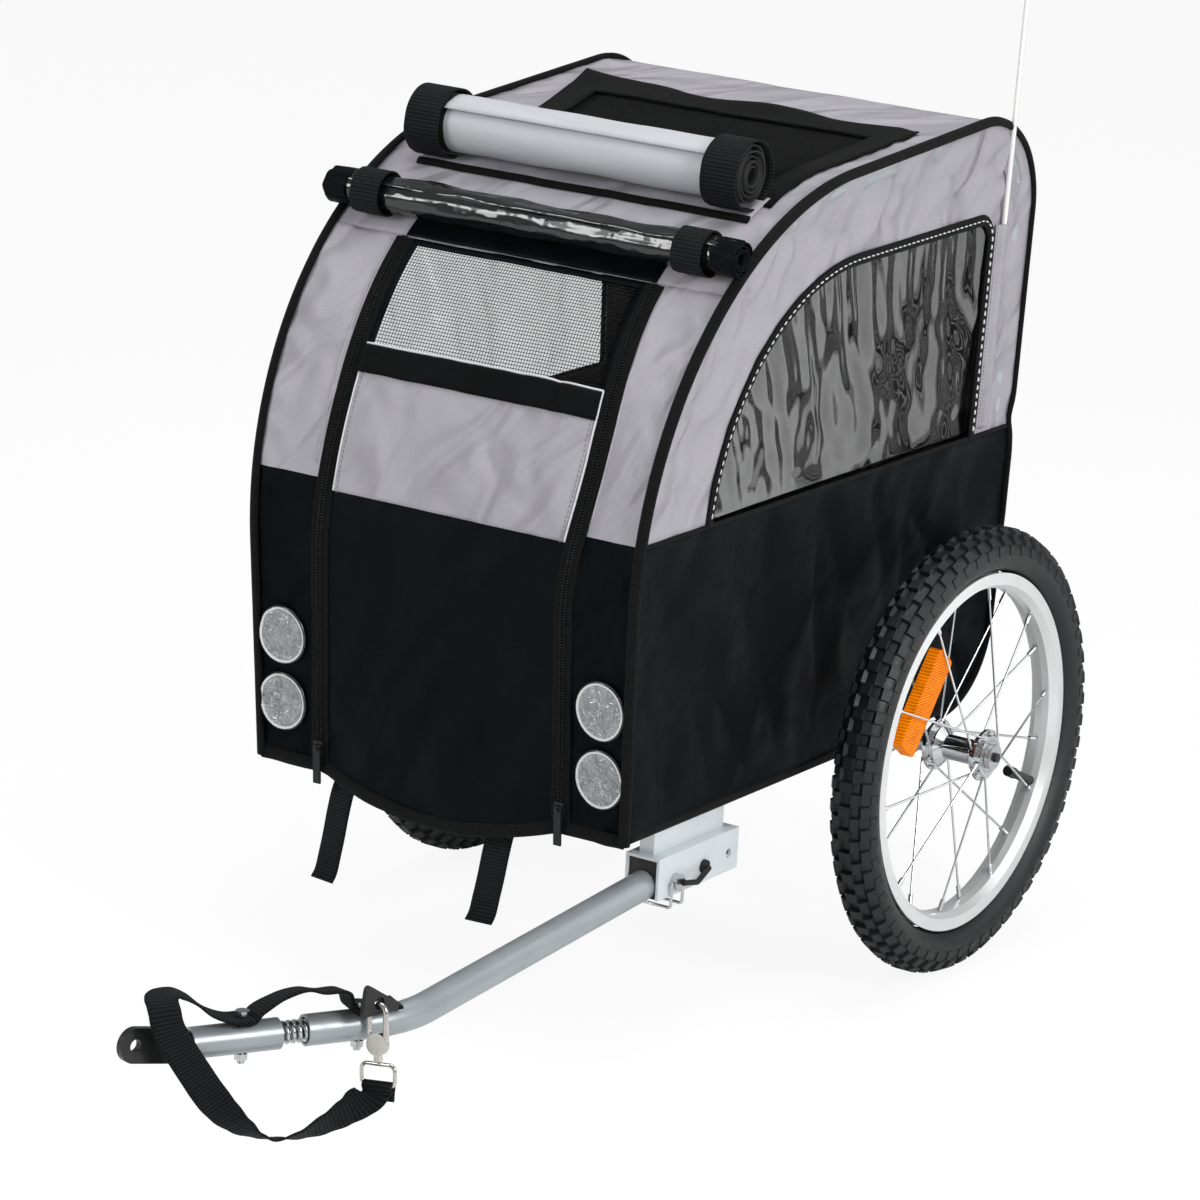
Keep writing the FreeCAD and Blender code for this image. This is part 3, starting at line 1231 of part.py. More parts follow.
# Bridge strap: webbing between the two bolts, humped over the spring.
HUMP_SHARES = [(-0.34, 0), (0.07, 0), (0.14, 0.75), (0.35, 0.85), (0.5, 1), (0.68, 0.8), (0.86, 0.35), (0.94, 0), (1.08, 0)]
strap_z = strap_level(1) - size("strap_thick") / 2
bolt_span = front_bolt_x - rear_bolt_x
bolt_clear = [made("bolt_clear", Part.makeCylinder(size("bolt_radius") + size("seam_gap"), 4 * size("drawbar_radius"),
                                                   Vector(x, 0, 0))) for x in (rear_bolt_x, front_bolt_x)]
hump = [(Vector(rear_bolt_x + run * bolt_span, 0, strap_z + rise * size("bridge_rise")), Vector(ALONG_Y), Vector(UP))
        for run, rise in HUMP_SHARES]
bridge = cut("bridge_strap", made("bridge_webbing", ribbon(hump, size("strap_width"), size("strap_thick"))), *bolt_clear)
hitch_node(bridge, "bridge_strap")

# Triangular buckle on the rear end of the bridge strap. The snap hook hangs on its lower bar.
buckle_corners = [Vector(-size("buckle_back"), 0, 0), Vector(size("buckle_ahead"), 0, 0),
                  Vector(size("buckle_peak"), 0, size("buckle_rise"))]
buckle_blank = extruded("buckle_blank", Part.Face(bent_path(buckle_corners, size("buckle_round"), True)), ALONG_Y,
                        "buckle_thick", True)
hole_middle = Vector(size("buckle_hole_ahead"), 0, size("buckle_bar") + size("buckle_hole"))
buckle = cut("strap_buckle", buckle_blank, rod("buckle_eye", "buckle_hole", "4 * buckle_thick",
                                               hole_middle - ALONG_Y * (2 * size("buckle_thick")), ALONG_Y))
buckle_foot = Vector(size("buckle_x"), size("buckle_out"), strap_level(1) + size("seam_gap"))
buckle.Placement = Placement(buckle_foot, Rotation(UP, size("buckle_turn")))
hitch_node(buckle, "strap_buckle")

# Snap hook: a bent bar with a flat base and a swivel barrel, hung on the buckle's lower bar.
hook_middle = Placement(buckle_foot, Rotation(UP, size("buckle_turn"))).multVec(
    Vector(size("buckle_hole_ahead"), 0, size("buckle_bar") - size("hook_bite")))
hook_place = Placement(hook_middle, Rotation(ALONG_X, size("hook_tilt")).multiply(Rotation(UP, size("hook_turn"))))
loop, nose, spine = size("hook_loop"), size("hook_nose"), size("hook_spine")
hook_path = Part.Wire([
    Part.makeLine(Vector(loop, 0, -nose), Vector(loop, 0, 0)),
    Part.Arc(Vector(loop, 0, 0), Vector(0, 0, loop), Vector(-loop, 0, 0)).toShape(),
    Part.makeLine(Vector(-loop, 0, 0), Vector(-loop, 0, -spine))])
base_z = -spine - size("hook_wire")
hook_bar = made("hook_bar", pipe(hook_path, size("hook_wire")))
hook_base = rod("hook_base_disc", "hook_base", "hook_base_thick", Vector(0, size("hook_base_thick") / 2, base_z), -ALONG_Y)
barrel_top = base_z - size("hook_base") + size("hook_wire")
barrel = rod("hook_barrel", "swivel_radius", "swivel_length", Vector(0, 0, barrel_top), -UP)
hook = joined("snap_hook", hook_bar, hook_base, barrel)
hook.Placement = hook_place
hitch_node(hook, "snap_hook")
gate_foot = base_z + math.sqrt(size("hook_base") ** 2 - (loop - size("gate_radius")) ** 2) + size("running_gap")
gate_top = -nose - size("running_gap")
gate = made("hook_gate", Part.makeCylinder(size("gate_radius"), gate_top - gate_foot, Vector(loop, 0, gate_foot)),
            hook_place)
hitch_node(gate, "hook_gate")

# Swivel loop below the hook, which carries the end of the safety strap.
loop_top = barrel_top - size("swivel_length") - size("running_gap") - size("loop_bar")
loop_corners = [Vector(-size("loop_half_width"), 0, loop_top), Vector(size("loop_half_width"), 0, loop_top),
                Vector(size("loop_half_width"), 0, loop_top - size("loop_height")),
                Vector(-size("loop_half_width"), 0, loop_top - size("loop_height"))]
swivel = made("swivel_loop", pipe(bent_path(loop_corners, size("loop_bend"), True), size("loop_bar")), hook_place)
hitch_node(swivel, "swivel_loop")

# Safety strap: webbing from the front bolt, folded at the hitch, hanging in a loop and back to the swivel.
# Each station has its place along the hitch, to the outside and up, and the direction of the webbing's width.
STRAP_SHARES = [
    ((0.785, 0, 0.31), (0, 1, 0)), ((0.85, 0, 0.455), (0, 1, 0)), ((0.905, 0, 0.535), (0, 1, 0)),
    ((0.953, 0.1, 0.56), (-0.5, 0.87, 0)), ((0.986, 0.36, 0.56), (-0.87, 0.5, 0)), ((1, 0.72, 0.54), (-1, 0, 0)),
    ((1.002, 0.96, 0.475), (-1, 0, 0.05)), ((0.995, 1.02, 0.365), (-1, 0, 0.1)), ((0.962, 0.96, 0.18), (-0.95, 0, 0.3)),
    ((0.922, 0.93, 0), (-0.9, 0, 0.42)), ((0.872, 0.91, -0.21), (-0.88, 0, 0.48)), ((0.822, 0.91, -0.415), (-0.83, 0.1, 0.55)),
    ((0.758, 0.93, -0.635), (-0.6, 0.5, 0.6)), ((0.692, 0.95, -0.805), (-0.3, 0.75, 0.55)),
    ((0.62, 0.96, -0.93), (0.1, 0.87, 0.4)), ((0.545, 0.97, -0.99), (0.43, 0.86, 0.27)),
    ((0.455, 0.98, -0.975), (0.45, 0.75, 0.5)), ((0.36, 1, -0.885), (0.4, 0.5, 0.77)),
    ((0.284, 1.02, -0.785), (0.45, 0.2, 0.87)), ((0.222, 1.02, -0.69), (0.55, -0.3, 0.7))]
under_head = size("bolt_head_radius")
held_z = strap_level(2) - size("strap_thick") / 2
stations = [(Vector(front_bolt_x + reach, 0, held_z), Vector(ALONG_Y)) for reach in (-under_head, 2 * under_head)]
for (along, out, up), across in STRAP_SHARES:
    spot = Vector(along * size("strap_reach"), out * size("strap_side"), up * size("strap_drop"))
    stations.append((spot, Vector(*across)))
strap_end = Vector(0, 0, loop_top - size("loop_height") - size("loop_bar") - size("seam_gap"))
for spot in (strap_end - UP * size("strap_lead"), strap_end):
    stations.append((hook_place.multVec(spot), hook_place.Rotation.multVec(ALONG_X)))
webbing = []
for index, (point, across) in enumerate(stations):
    before = stations[max(index - 1, 0)][0]
    after = stations[min(index + 1, len(stations) - 1)][0]
    heading = (after - before).normalize()
    level = across - heading * across.dot(heading)
    webbing.append((point, level, heading.cross(level)))
strap_solid = made("strap_webbing", ribbon(webbing, size("strap_width"), size("strap_thick")))
strap_hole = made("strap_hole", Part.makeCylinder(size("bolt_radius") + size("seam_gap"), 4 * size("drawbar_radius"),
                                                  Vector(front_bolt_x, 0, 0)))
hitch_node(cut("safety_strap", strap_solid, strap_hole), "safety_strap")

doc.recompute()
for obj in doc.Objects:
    if "Invalid" in obj.State or "Error" in obj.State:
        raise RuntimeError(f"{obj.Label} did not build")
os.makedirs("parts", exist_ok=True)
for obj in nodes:
    if obj.Shape.isNull() or not obj.Shape.isValid():
        raise RuntimeError(f"{obj.Label} has no valid shape")
    obj.Shape.exportStep(os.path.join("parts", obj.Label + ".step"))
print(len(nodes), "pieces written")
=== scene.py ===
import math

import bmesh
import bpy
from mathutils import Matrix, Vector, noise


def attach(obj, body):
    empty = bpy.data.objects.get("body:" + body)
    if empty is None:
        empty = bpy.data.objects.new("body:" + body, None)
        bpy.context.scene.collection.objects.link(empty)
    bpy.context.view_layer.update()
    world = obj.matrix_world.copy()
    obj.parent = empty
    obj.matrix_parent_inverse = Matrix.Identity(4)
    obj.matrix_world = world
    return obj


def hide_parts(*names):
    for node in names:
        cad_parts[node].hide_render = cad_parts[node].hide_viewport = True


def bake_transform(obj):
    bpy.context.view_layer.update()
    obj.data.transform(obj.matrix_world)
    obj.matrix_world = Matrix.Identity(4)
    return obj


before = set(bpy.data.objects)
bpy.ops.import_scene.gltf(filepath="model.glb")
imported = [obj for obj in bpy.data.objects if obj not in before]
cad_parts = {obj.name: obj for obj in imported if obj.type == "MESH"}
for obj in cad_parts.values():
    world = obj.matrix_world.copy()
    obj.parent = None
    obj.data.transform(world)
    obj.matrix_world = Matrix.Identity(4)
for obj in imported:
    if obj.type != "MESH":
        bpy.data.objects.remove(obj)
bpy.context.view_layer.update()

# Frame tubes: bent steel side frames, cross tubes and the axle tube that carries both wheels.
# Silver-grey powder coat over steel, with the faint orange peel and dust of a baked finish.
# The tubes keep their CAD shape and get the coating here.


def srgb(code):
    """The linear colour of an sRGB hex code."""
    parts = [int(code[start:start + 2], 16) / 255 for start in (1, 3, 5)]
    return tuple(p / 12.92 if p <= 0.04045 else ((p + 0.055) / 1.055) ** 2.4 for p in parts) + (1,)


def fill(tree, node, inputs):
    """Sets a node's inputs, each to a value or to another node's output."""
    for key, value in inputs.items():
        if isinstance(value, bpy.types.NodeSocket):
            tree.links.new(value, node.inputs[key])
        else:
            node.inputs[key].default_value = value


def add(tree, kind, inputs, out=0, **settings):
    """Adds one node with its settings and links, and gives one of its outputs."""
    made = tree.nodes.new(kind)
    for name, value in settings.items():
        setattr(made, name, value)
    fill(tree, made, inputs)
    return made.outputs[out] if made.outputs else made


def finish(name, inputs):
    """A new material with its shader's inputs set, and its tree and shader for further nodes."""
    material = bpy.data.materials.new(name)
    material.use_nodes = True
    tree = material.node_tree
    shader = tree.nodes["Principled BSDF"]
    fill(tree, shader, inputs)
    return material, tree, shader


def mottle(tree, where, grain, low, high):
    """A noise with lumps of one size in metres, drawn between two values or two colours."""
    share = add(tree, "ShaderNodeTexNoise", {"Vector": where, "Scale": 1 / grain, "Detail": 4.0})
    if isinstance(low, tuple):
        return add(tree, "ShaderNodeMix", {0: share, 6: low, 7: high}, 2, data_type="RGBA")
    return add(tree, "ShaderNodeMapRange", {"Value": share, "From Min": 0.3, "From Max": 0.7,
                                            "To Min": low, "To Max": high})


def coated(name, dark, pale, metallic, gloss, grain, depth, more=(), drift=(0.03, 0.008), twist=0.0):
    """A hard finish with a fine grain; its colour and gloss drift a little, in lumps of two sizes."""
    material, tree, shader = finish(name, {"Metallic": metallic, **dict(more)})
    where = add(tree, "ShaderNodeTexCoord", {}, "Object")
    height = add(tree, "ShaderNodeTexNoise", {"Vector": where, "Scale": 1 / grain, "Detail": 2.0,
                                              "Distortion": twist})
    fill(tree, shader, {"Base Color": mottle(tree, where, drift[0], srgb(dark), srgb(pale)),
                        "Roughness": mottle(tree, where, drift[1], *gloss),
                        "Normal": add(tree, "ShaderNodeBump", {"Height": height, "Distance": depth})})
    return material


def dress(material, *names):
    """Gives CAD nodes of the right shape their finish."""
    for name in names:
        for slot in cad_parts[name].material_slots:
            slot.material = material


# Powder coat has a soft even sheen, zinc and chrome mirror what is round them, and nylon is dull and grained.
silver_paint = coated("powder-coated steel tube", "#98A0A4", "#AAB1B4", 0.35, (0.30, 0.42), 0.0012, 0.00004,
                      {"Coat Weight": 0.25, "Coat Roughness": 0.2})
zinc = coated("zinc-plated steel", "#B9BCBE", "#D5D8DA", 1.0, (0.18, 0.34), 0.0015, 0.00002)
chrome = coated("chrome-plated steel", "#C9CCCE", "#E3E5E6", 1.0, (0.06, 0.16), 0.004, 0.00001)
black_plastic = coated("moulded black nylon", "#101112", "#1B1C1E", 0.0, (0.38, 0.55), 0.0006, 0.00003)
dress(silver_paint, "left_side_frame", "right_side_frame", "cross_tubes", "axle_tube")
dress(black_plastic, "axle_bushings", "left_axle_button", "right_axle_button")
dress(zinc, "wheel_axles", "wheel_bearings")

# Floor panel: a stiff black board laid between the side frames.
# Fibreboard under black polyester; it keeps its CAD shape.

floor_board = coated("black covered board", "#121416", "#1D2022", 0.0, (0.75, 0.9), 0.0009, 0.00008)
dress(floor_board, "floor_panel")

# Wheels: 16-inch wheels with knobby black tyres on polished alloy rims, twenty spokes and chromed hubs.
# Tyre casing turned from its section; the tread blocks repeat in rows round it.
# Rims, spokes, tubes and hubs keep their CAD shape.

SIDES = (("left", 1), ("right", -1))
AXLE_Y, AXLE_Z, WHEEL_X = 0.3314, 0.199, 0.2507
RING, SECTION, LINING = 0.1767, 0.0184, 0.0168  # radius of the tyre's ring, of its section and of its bore
STRETCH, BEAD_ANGLE, BLOCKS, BLOCK_SUNK = 1.1, 152, 58, 0.0006
TREAD_ROWS = (  # lean from the crown in degrees, phase, width, length and height of a block in metres
    (0, 0, 0.0120, 0.0120, 0.0042), (26, 0.5, 0.0090, 0.0135, 0.0042), (-26, 0.5, 0.0090, 0.0135, 0.0042),
    (52, 0, 0.0105, 0.0120, 0.0040), (-52, 0, 0.0105, 0.0120, 0.0040),
    (79, 0.5, 0.0100, 0.0085, 0.0030), (-79, 0.5, 0.0100, 0.0085, 0.0030))


def applied(piece):
    """Turns a piece and its modifiers into a plain mesh."""
    mesh = bpy.data.meshes.new_from_object(piece.evaluated_get(bpy.context.evaluated_depsgraph_get()))
    old = piece.data
    piece.modifiers.clear()
    piece.data = mesh
    bpy.data.meshes.remove(old)


def form(name, points, faces, material, smooth=True):
    """A new mesh object from its points and faces."""
    mesh = bpy.data.meshes.new(name)
    mesh.from_pydata([tuple(p) for p in points], [], faces)
    mesh.materials.append(material)
    mesh.polygons.foreach_set("use_smooth", [smooth] * len(faces))
    piece = bpy.data.objects.new(name, mesh)
    bpy.context.scene.collection.objects.link(piece)
    return piece


def face_out(piece):
    """Makes a closed mesh's faces look outwards."""
    work = bmesh.new()
    work.from_mesh(piece.data)
    bmesh.ops.recalc_face_normals(work, faces=work.faces)
    work.to_mesh(piece.data)
    work.free()


def turned(name, section, middle, segments, material):
    """A closed section of (x, radius) points turned about the wheel's axle."""
    points, faces, count = [], [], len(section)
    for step in range(segments):
        turn = 2 * math.pi * step / segments
        for x, radius in section:
            points.append(middle + Vector((x, radius * math.cos(turn), radius * math.sin(turn))))
    for step in range(segments):
        here, there = step * count, (step + 1) % segments * count
        for index in range(count):
            beside = (index + 1) % count
            faces.append((here + index, here + beside, there + beside, there + index))
    piece = form(name, points, faces, material)
    face_out(piece)
    return piece


def repeat_group(name, inputs):
    """A geometry node group with its named inputs, and the sockets that they come from."""
    group = bpy.data.node_groups.new(name, "GeometryNodeTree")
    sockets = group.interface
    for label, kind in {"Geometry": "Geometry", **inputs, "Finish": "Material"}.items():
        sockets.new_socket(label, in_out="INPUT", socket_type="NodeSocket" + kind)
    sockets.new_socket("Geometry", in_out="OUTPUT", socket_type="NodeSocketGeometry")
    return group, add(group, "NodeGroupInput", {}).node.outputs


def repeated(group, points, instance, rotation, material):
    """A copy of one shape at each point, as a plain mesh with its finish."""
    row = add(group, "GeometryNodeInstanceOnPoints", {"Points": points, "Instance": instance,
                                                      "Rotation": rotation})
    solid = add(group, "GeometryNodeRealizeInstances", {"Geometry": row})
    return add(group, "GeometryNodeSetMaterial", {"Geometry": solid, "Material": material})


def tread_group():
    """Geometry nodes for one row of tapered tread blocks round the tyre, added to the rows before it."""
    group, start = repeat_group("tread row", {
        "Blocks": "Int", "Phase": "Float", "Lean": "Float", "Section": "Float", "Ring": "Float",
        "Block": "Vector", "Middle": "Vector"})
    block = add(group, "GeometryNodeMeshCone", {"Vertices": 4, "Side Segments": 1, "Radius Top": 0.56,
                                                "Radius Bottom": 0.71, "Depth": 1.0})
    square = add(group, "GeometryNodeTransform", {"Geometry": block, "Rotation": (0, 0, math.pi / 4)})
    rise = add(group, "ShaderNodeCombineXYZ", {"Z": start["Section"]})
    sized = add(group, "GeometryNodeTransform", {"Geometry": square, "Scale": start["Block"],
                                                 "Translation": rise})
    lean = add(group, "ShaderNodeCombineXYZ", {"Y": start["Lean"]})
    reach = add(group, "ShaderNodeCombineXYZ", {"Z": start["Ring"]})
    leant = add(group, "GeometryNodeTransform", {"Geometry": sized, "Rotation": lean, "Translation": reach})
    step = add(group, "ShaderNodeMath", {0: 2 * math.pi, 1: start["Blocks"]}, operation="DIVIDE")
    index = add(group, "GeometryNodeInputIndex", {})
    number = add(group, "ShaderNodeMath", {0: index, 1: start["Phase"]}, operation="ADD")
    turn = add(group, "ShaderNodeMath", {0: number, 1: step}, operation="MULTIPLY")
    euler = add(group, "ShaderNodeCombineXYZ", {"X": turn})
    around = add(group, "FunctionNodeEulerToRotation", {"Euler": euler})
    spots = add(group, "GeometryNodePoints", {"Count": start["Blocks"], "Position": start["Middle"]})
    both = add(group, "GeometryNodeJoinGeometry", {
        "Geometry": repeated(group, spots, leant, around, start["Finish"])})
    fill(group, both.node, {"Geometry": start["Geometry"]})
    add(group, "NodeGroupOutput", {"Geometry": both})
    return group


def set_row(piece, group, values):
    """Adds a node group to a piece, with its named inputs set."""
    row = piece.modifiers.new("row", "NODES")
    row.node_group = group
    for item in group.interface.items_tree:
        if item.item_type == "SOCKET" and item.in_out == "INPUT" and item.name in values:
            row[item.identifier] = values[item.name]


# Rubber has a dull bloom and a moulded grain; the alloy is brushed to a pale satin.
rubber = coated("tyre rubber", "#0C0E10", "#171A1C", 0.0, (0.36, 0.52), 1 / 900, 0.0001,
                {"Specular IOR Level": 0.4}, (0.02, 0.004))
alloy = coated("polished alloy", "#E4E6E7", "#F2F3F3", 0.55, (0.29, 0.34), 0.0009, 0.000006)
dress(alloy, "left_rim", "right_rim")
dress(chrome, "left_spokes", "right_spokes", "left_hub", "right_hub")
dress(rubber, "left_inner_tube", "right_inner_tube")
casing = []
for radius, way in ((SECTION, 1), (LINING, -1)):
    for step in range(41):
        angle = math.radians(way * BEAD_ANGLE * (2 * step / 40 - 1))
        casing.append((radius * STRETCH * math.sin(angle), RING + radius * math.cos(angle)))
tread_row = tread_group()
for hand, side in SIDES:
    body = hand + "_wheel"
    hub_middle = Vector((side * WHEEL_X, AXLE_Y, AXLE_Z))
    tyre = turned(body + "_casing", casing, hub_middle, 160, rubber)
    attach(tyre, body)
    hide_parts(hand + "_tyre")
    tread = form(body + "_tread", [], [], rubber)
    for lean, phase, width, length, height in TREAD_ROWS:
        set_row(tread, tread_row, {
            "Blocks": BLOCKS, "Phase": float(phase), "Lean": math.radians(lean),
            "Section": SECTION - BLOCK_SUNK, "Ring": RING, "Block": (width, length, height),
            "Middle": tuple(hub_middle), "Finish": rubber})
    applied(tread)
    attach(tread, body)

# Spoke reflectors: one amber moulded reflector clipped between the spokes of each wheel.
# Clear amber acrylic over rows of prisms, in its CAD shape.

WAVE = 0.314  # the scale of a wave texture times its pitch in metres


def amber_acrylic_painted_glow():
    """Amber acrylic ribbed by the prisms behind its face, with painted highlights along the prism rows and a
    painted glow.
    """
    # The emission is a painted glow that stands in for the light the reflector sends back.
    material, tree, shader = finish("amber reflector acrylic with painted glow", {
        "Roughness": 0.3, "IOR": 1.49, "Specular IOR Level": 0.1, "Emission Color": srgb("#F27A00")})
    where = add(tree, "ShaderNodeTexCoord", {}, "Object")
    prisms = add(tree, "ShaderNodeTexWave", {"Vector": where, "Scale": WAVE / 0.0024, "Distortion": 0.6},
                 "Fac", wave_type="BANDS", bands_direction="Z")
    # The pale amber bands are painted highlights on the prism rows.
    colour = add(tree, "ShaderNodeMix", {0: prisms, 6: srgb("#C24E00"), 7: srgb("#FF9A0C")}, 2,
                 data_type="RGBA")
    # The emission strength is mottled, so the painted glow is uneven across the face.
    fill(tree, shader, {"Base Color": colour, "Emission Strength": mottle(tree, where, 0.012, 0.2, 0.5),
                        "Normal": add(tree, "ShaderNodeBump", {"Height": prisms, "Distance": 0.0009})})
    return material


dress(amber_acrylic_painted_glow(), "left_reflector", "right_reflector")

# Cloth cabin, its sides: black polyester below and grey above, in one leaning panel on each side.
# 600-denier polyester sewn along the colour line; each panel is a grid stretched on the side frame.
# It lies in the cabin's outline: leaning front, round bow, sloping roof and rear.

LEAN, SLOPE = math.radians(4.3), math.radians(4.06)
BOW_Y, BOW_Z, BOW = 0.1904, 0.415, 0.309
REAR_Y, REAR_BEND, FOOT_BEND, SKIRT_Z = 0.4814, 0.09, 0.075, 0.2
REAR_FULL, REAR_PINCH = 0.003, 0.005
COLOUR_Z, SIDE_LEAN, SIDE_FOOT = 0.455, math.radians(1.7), 0.184
WINDOW_Z, WINDOW_BOW, WINDOW_CORNER, WINDOW_RISE, WINDOW_REAR = 0.44, 0.209, 0.02, 0.02, 0.410
CLOTH, PROUD, TUCK = 0.0016, 0.0016, 0.002
AXLE_NOTCH, HEM_UP = 0.0128, 0.0026


def way_at(angle):
    """The direction at an angle up from the rear, in the plane of a side."""
    return Vector((math.cos(angle), math.sin(angle)))


bow_low = Vector((BOW_Y - BOW * math.cos(LEAN), BOW_Z - BOW * math.sin(LEAN)))
bow_top = Vector((BOW_Y - BOW * math.sin(SLOPE), BOW_Z + BOW * math.cos(SLOPE)))
rear_middle_y = REAR_Y - REAR_BEND
roof_end_y = rear_middle_y - REAR_BEND * math.sin(SLOPE)
rear_middle_z = bow_top.y + (roof_end_y - bow_top.x) * math.tan(SLOPE) - REAR_BEND * math.cos(SLOPE)
FRONT_RUN = (bow_low.y - SKIRT_Z) / math.cos(LEAN)
BOW_RUN = BOW * (math.pi / 2 + LEAN - SLOPE)
ROOF_RUN = (roof_end_y - bow_top.x) / math.cos(SLOPE)
REAR_BEND_RUN = REAR_BEND * (math.pi / 2 + SLOPE)
REAR_RUN = rear_middle_z - SKIRT_Z - FOOT_BEND
FOOT_RUN = FOOT_BEND * math.pi / 2
ALL_RUN = FRONT_RUN + BOW_RUN + ROOF_RUN + REAR_BEND_RUN + REAR_RUN + FOOT_RUN


def within(value):
    """A value kept between 0 and 1."""
    return min(1.0, max(0.0, value))


def rear_bulge(z):
    """How far the rear stands out at a height: drawn in at the colour line and full below it."""
    pinch = math.exp(-((z - COLOUR_Z - 0.008) / 0.012) ** 2)
    full = within((COLOUR_Z + 0.004 - z) / 0.03) * within((z - SKIRT_Z - FOOT_BEND) / 0.1)
    return REAR_FULL * full - REAR_PINCH * pinch


def outline(run):
    """(y, z) of the cabin's outline and the way out of it, at a run along it from the front's lower edge."""
    if run <= FRONT_RUN:
        down = Vector((math.sin(LEAN), -math.cos(LEAN)))
        return bow_low + down * (FRONT_RUN - run), way_at(math.pi + LEAN)
    run -= FRONT_RUN
    if run <= BOW_RUN:
        out = way_at(math.pi + LEAN - run / BOW)
        return Vector((BOW_Y, BOW_Z)) + out * BOW, out
    run -= BOW_RUN
    if run <= ROOF_RUN:
        return bow_top + way_at(SLOPE) * run, Vector((-math.sin(SLOPE), math.cos(SLOPE)))
    run -= ROOF_RUN
    if run <= REAR_BEND_RUN:
        out = way_at(math.pi / 2 + SLOPE - run / REAR_BEND)
        return Vector((rear_middle_y, rear_middle_z)) + out * REAR_BEND, out
    run -= REAR_BEND_RUN
    if run <= REAR_RUN:
        return Vector((REAR_Y + rear_bulge(rear_middle_z - run), rear_middle_z - run)), Vector((1, 0))
    out = way_at(-(run - REAR_RUN) / FOOT_BEND)
    return Vector((REAR_Y - FOOT_BEND, SKIRT_Z + FOOT_BEND)) + out * FOOT_BEND, out


def run_at(z):
    """The run along the front and bow where the outline reaches a height."""
    if z <= bow_low.y:
        return (z - SKIRT_Z) / math.cos(LEAN)
    return FRONT_RUN + BOW * (LEAN + math.asin((z - BOW_Z) / BOW))


def rear_run_at(z):
    """The run down the rear where the outline reaches a height."""
    start = FRONT_RUN + BOW_RUN + ROOF_RUN
    if z >= rear_middle_z:
        return start + REAR_BEND * (math.pi / 2 + SLOPE - math.asin((z - rear_middle_z) / REAR_BEND))
    return start + REAR_BEND_RUN + rear_middle_z - z


def half_width(z):
    """The cabin's half width at a height: its sides lean outwards."""
    return SIDE_FOOT + (z - SKIRT_Z) * math.tan(SIDE_LEAN)


def ripple(spot, length, depth, seed):
    """Soft uneven waves of one length and depth."""
    return depth * noise.noise(Vector(spot) / length + Vector((seed * 5.3, seed * 2.7, seed * 9.1)))


def crease(spot, length, depth, seed):
    """Sharp folds with flat cloth between them."""
    ridge = 1 - abs(noise.noise(Vector(spot) / length + Vector((seed * 4.1, seed * 8.3, seed * 1.7))))
    return depth * max(0, ridge * 1.6 - 0.6) ** 3


def grid(place, across, along, skip=None):
    """The points, flat places and faces of a sheet; place(i, j) gives a point and its flat place."""
    points, flat, faces = [], [], []
    for j in range(along + 1):
        for i in range(across + 1):
            spot, cut = place(i / across, j / along)
            points.append(spot)
            flat.append(cut)
    for j in range(along):
        for i in range(across):
            if skip is None or not skip(i, j):
                low = j * (across + 1) + i
                faces.append((low, low + 1, low + across + 2, low + across + 1))
    return points, flat, faces


def lay_flat(mesh, flat):
    """Gives a mesh its places on the flat cloth."""
    layer = mesh.uv_layers.new(name="flat")
    for loop in mesh.loops:
        layer.data[loop.index].uv = flat[loop.vertex_index]


def turn_to(mesh, outward):
    """Turns a sheet's faces to the side that shows."""
    if sum((f.normal * f.area for f in mesh.polygons), Vector()).dot(Vector(outward)) < 0:
        mesh.flip_normals()


def thicken(piece, thick, offset=-1, backing=None):
    """Gives a sheet its thickness, and its back another finish if it has one."""
    body = piece.modifiers.new("thickness", "SOLIDIFY")
    body.thickness = thick
    body.offset = offset
    if backing:
        piece.data.materials.append(backing)
        body.material_offset = 1
    applied(piece)


def cloth(name, place, across, along, thick, material, outward, skip=None, offset=-1, backing=None):
    """A sheet of cloth on a grid of places, turned to the side that shows."""
    points, flat, faces = grid(place, across, along, skip)
    piece = form(name, points, faces, material)
    mesh = piece.data
    turn_to(mesh, outward)
    lay_flat(mesh, flat)
    work = bmesh.new()
    work.from_mesh(mesh)
    bmesh.ops.delete(work, geom=[v for v in work.verts if not v.link_faces], context="VERTS")
    work.to_mesh(mesh)
    work.free()
    thicken(piece, thick, offset, backing)
    return piece


def weave(tree, where, folds=(0.0, 0.05)):
    """The raised threads and slubs of spun polyester, over slanting folds of a (depth, width)."""
    pitch, depth = 0.0011, 0.00012  # about twice the real pitch of the threads, so that they show
    warp, weft = (add(tree, "ShaderNodeTexWave", {"Vector": where, "Scale": WAVE / pitch, "Distortion": 1.5,
                                                  "Detail": 1.0, "Detail Scale": 2.0}, "Fac",
                      wave_type="BANDS", bands_direction=direction) for direction in ("X", "Y"))
    woven = add(tree, "ShaderNodeMath", {0: warp, 1: weft}, operation="MAXIMUM")
    slubs = add(tree, "ShaderNodeTexNoise", {"Vector": where, "Scale": 420, "Detail": 3.0})
    threads = add(tree, "ShaderNodeMath", {0: woven, 1: slubs}, operation="ADD")
    slant = add(tree, "ShaderNodeMapping", {"Vector": where, "Rotation": (0, 0, math.radians(55)),
                                            "Scale": (2.2, 1, 1)}, vector_type="TEXTURE")
    fold = add(tree, "ShaderNodeTexNoise", {"Vector": slant, "Scale": 1 / folds[1], "Detail": 1.5,
                                            "Distortion": 0.7})
    height = add(tree, "ShaderNodeMath", {0: fold, 1: folds[0] / depth, 2: threads}, operation="MULTIPLY_ADD")
    return add(tree, "ShaderNodeBump", {"Height": height, "Distance": depth, "Strength": 0.7})


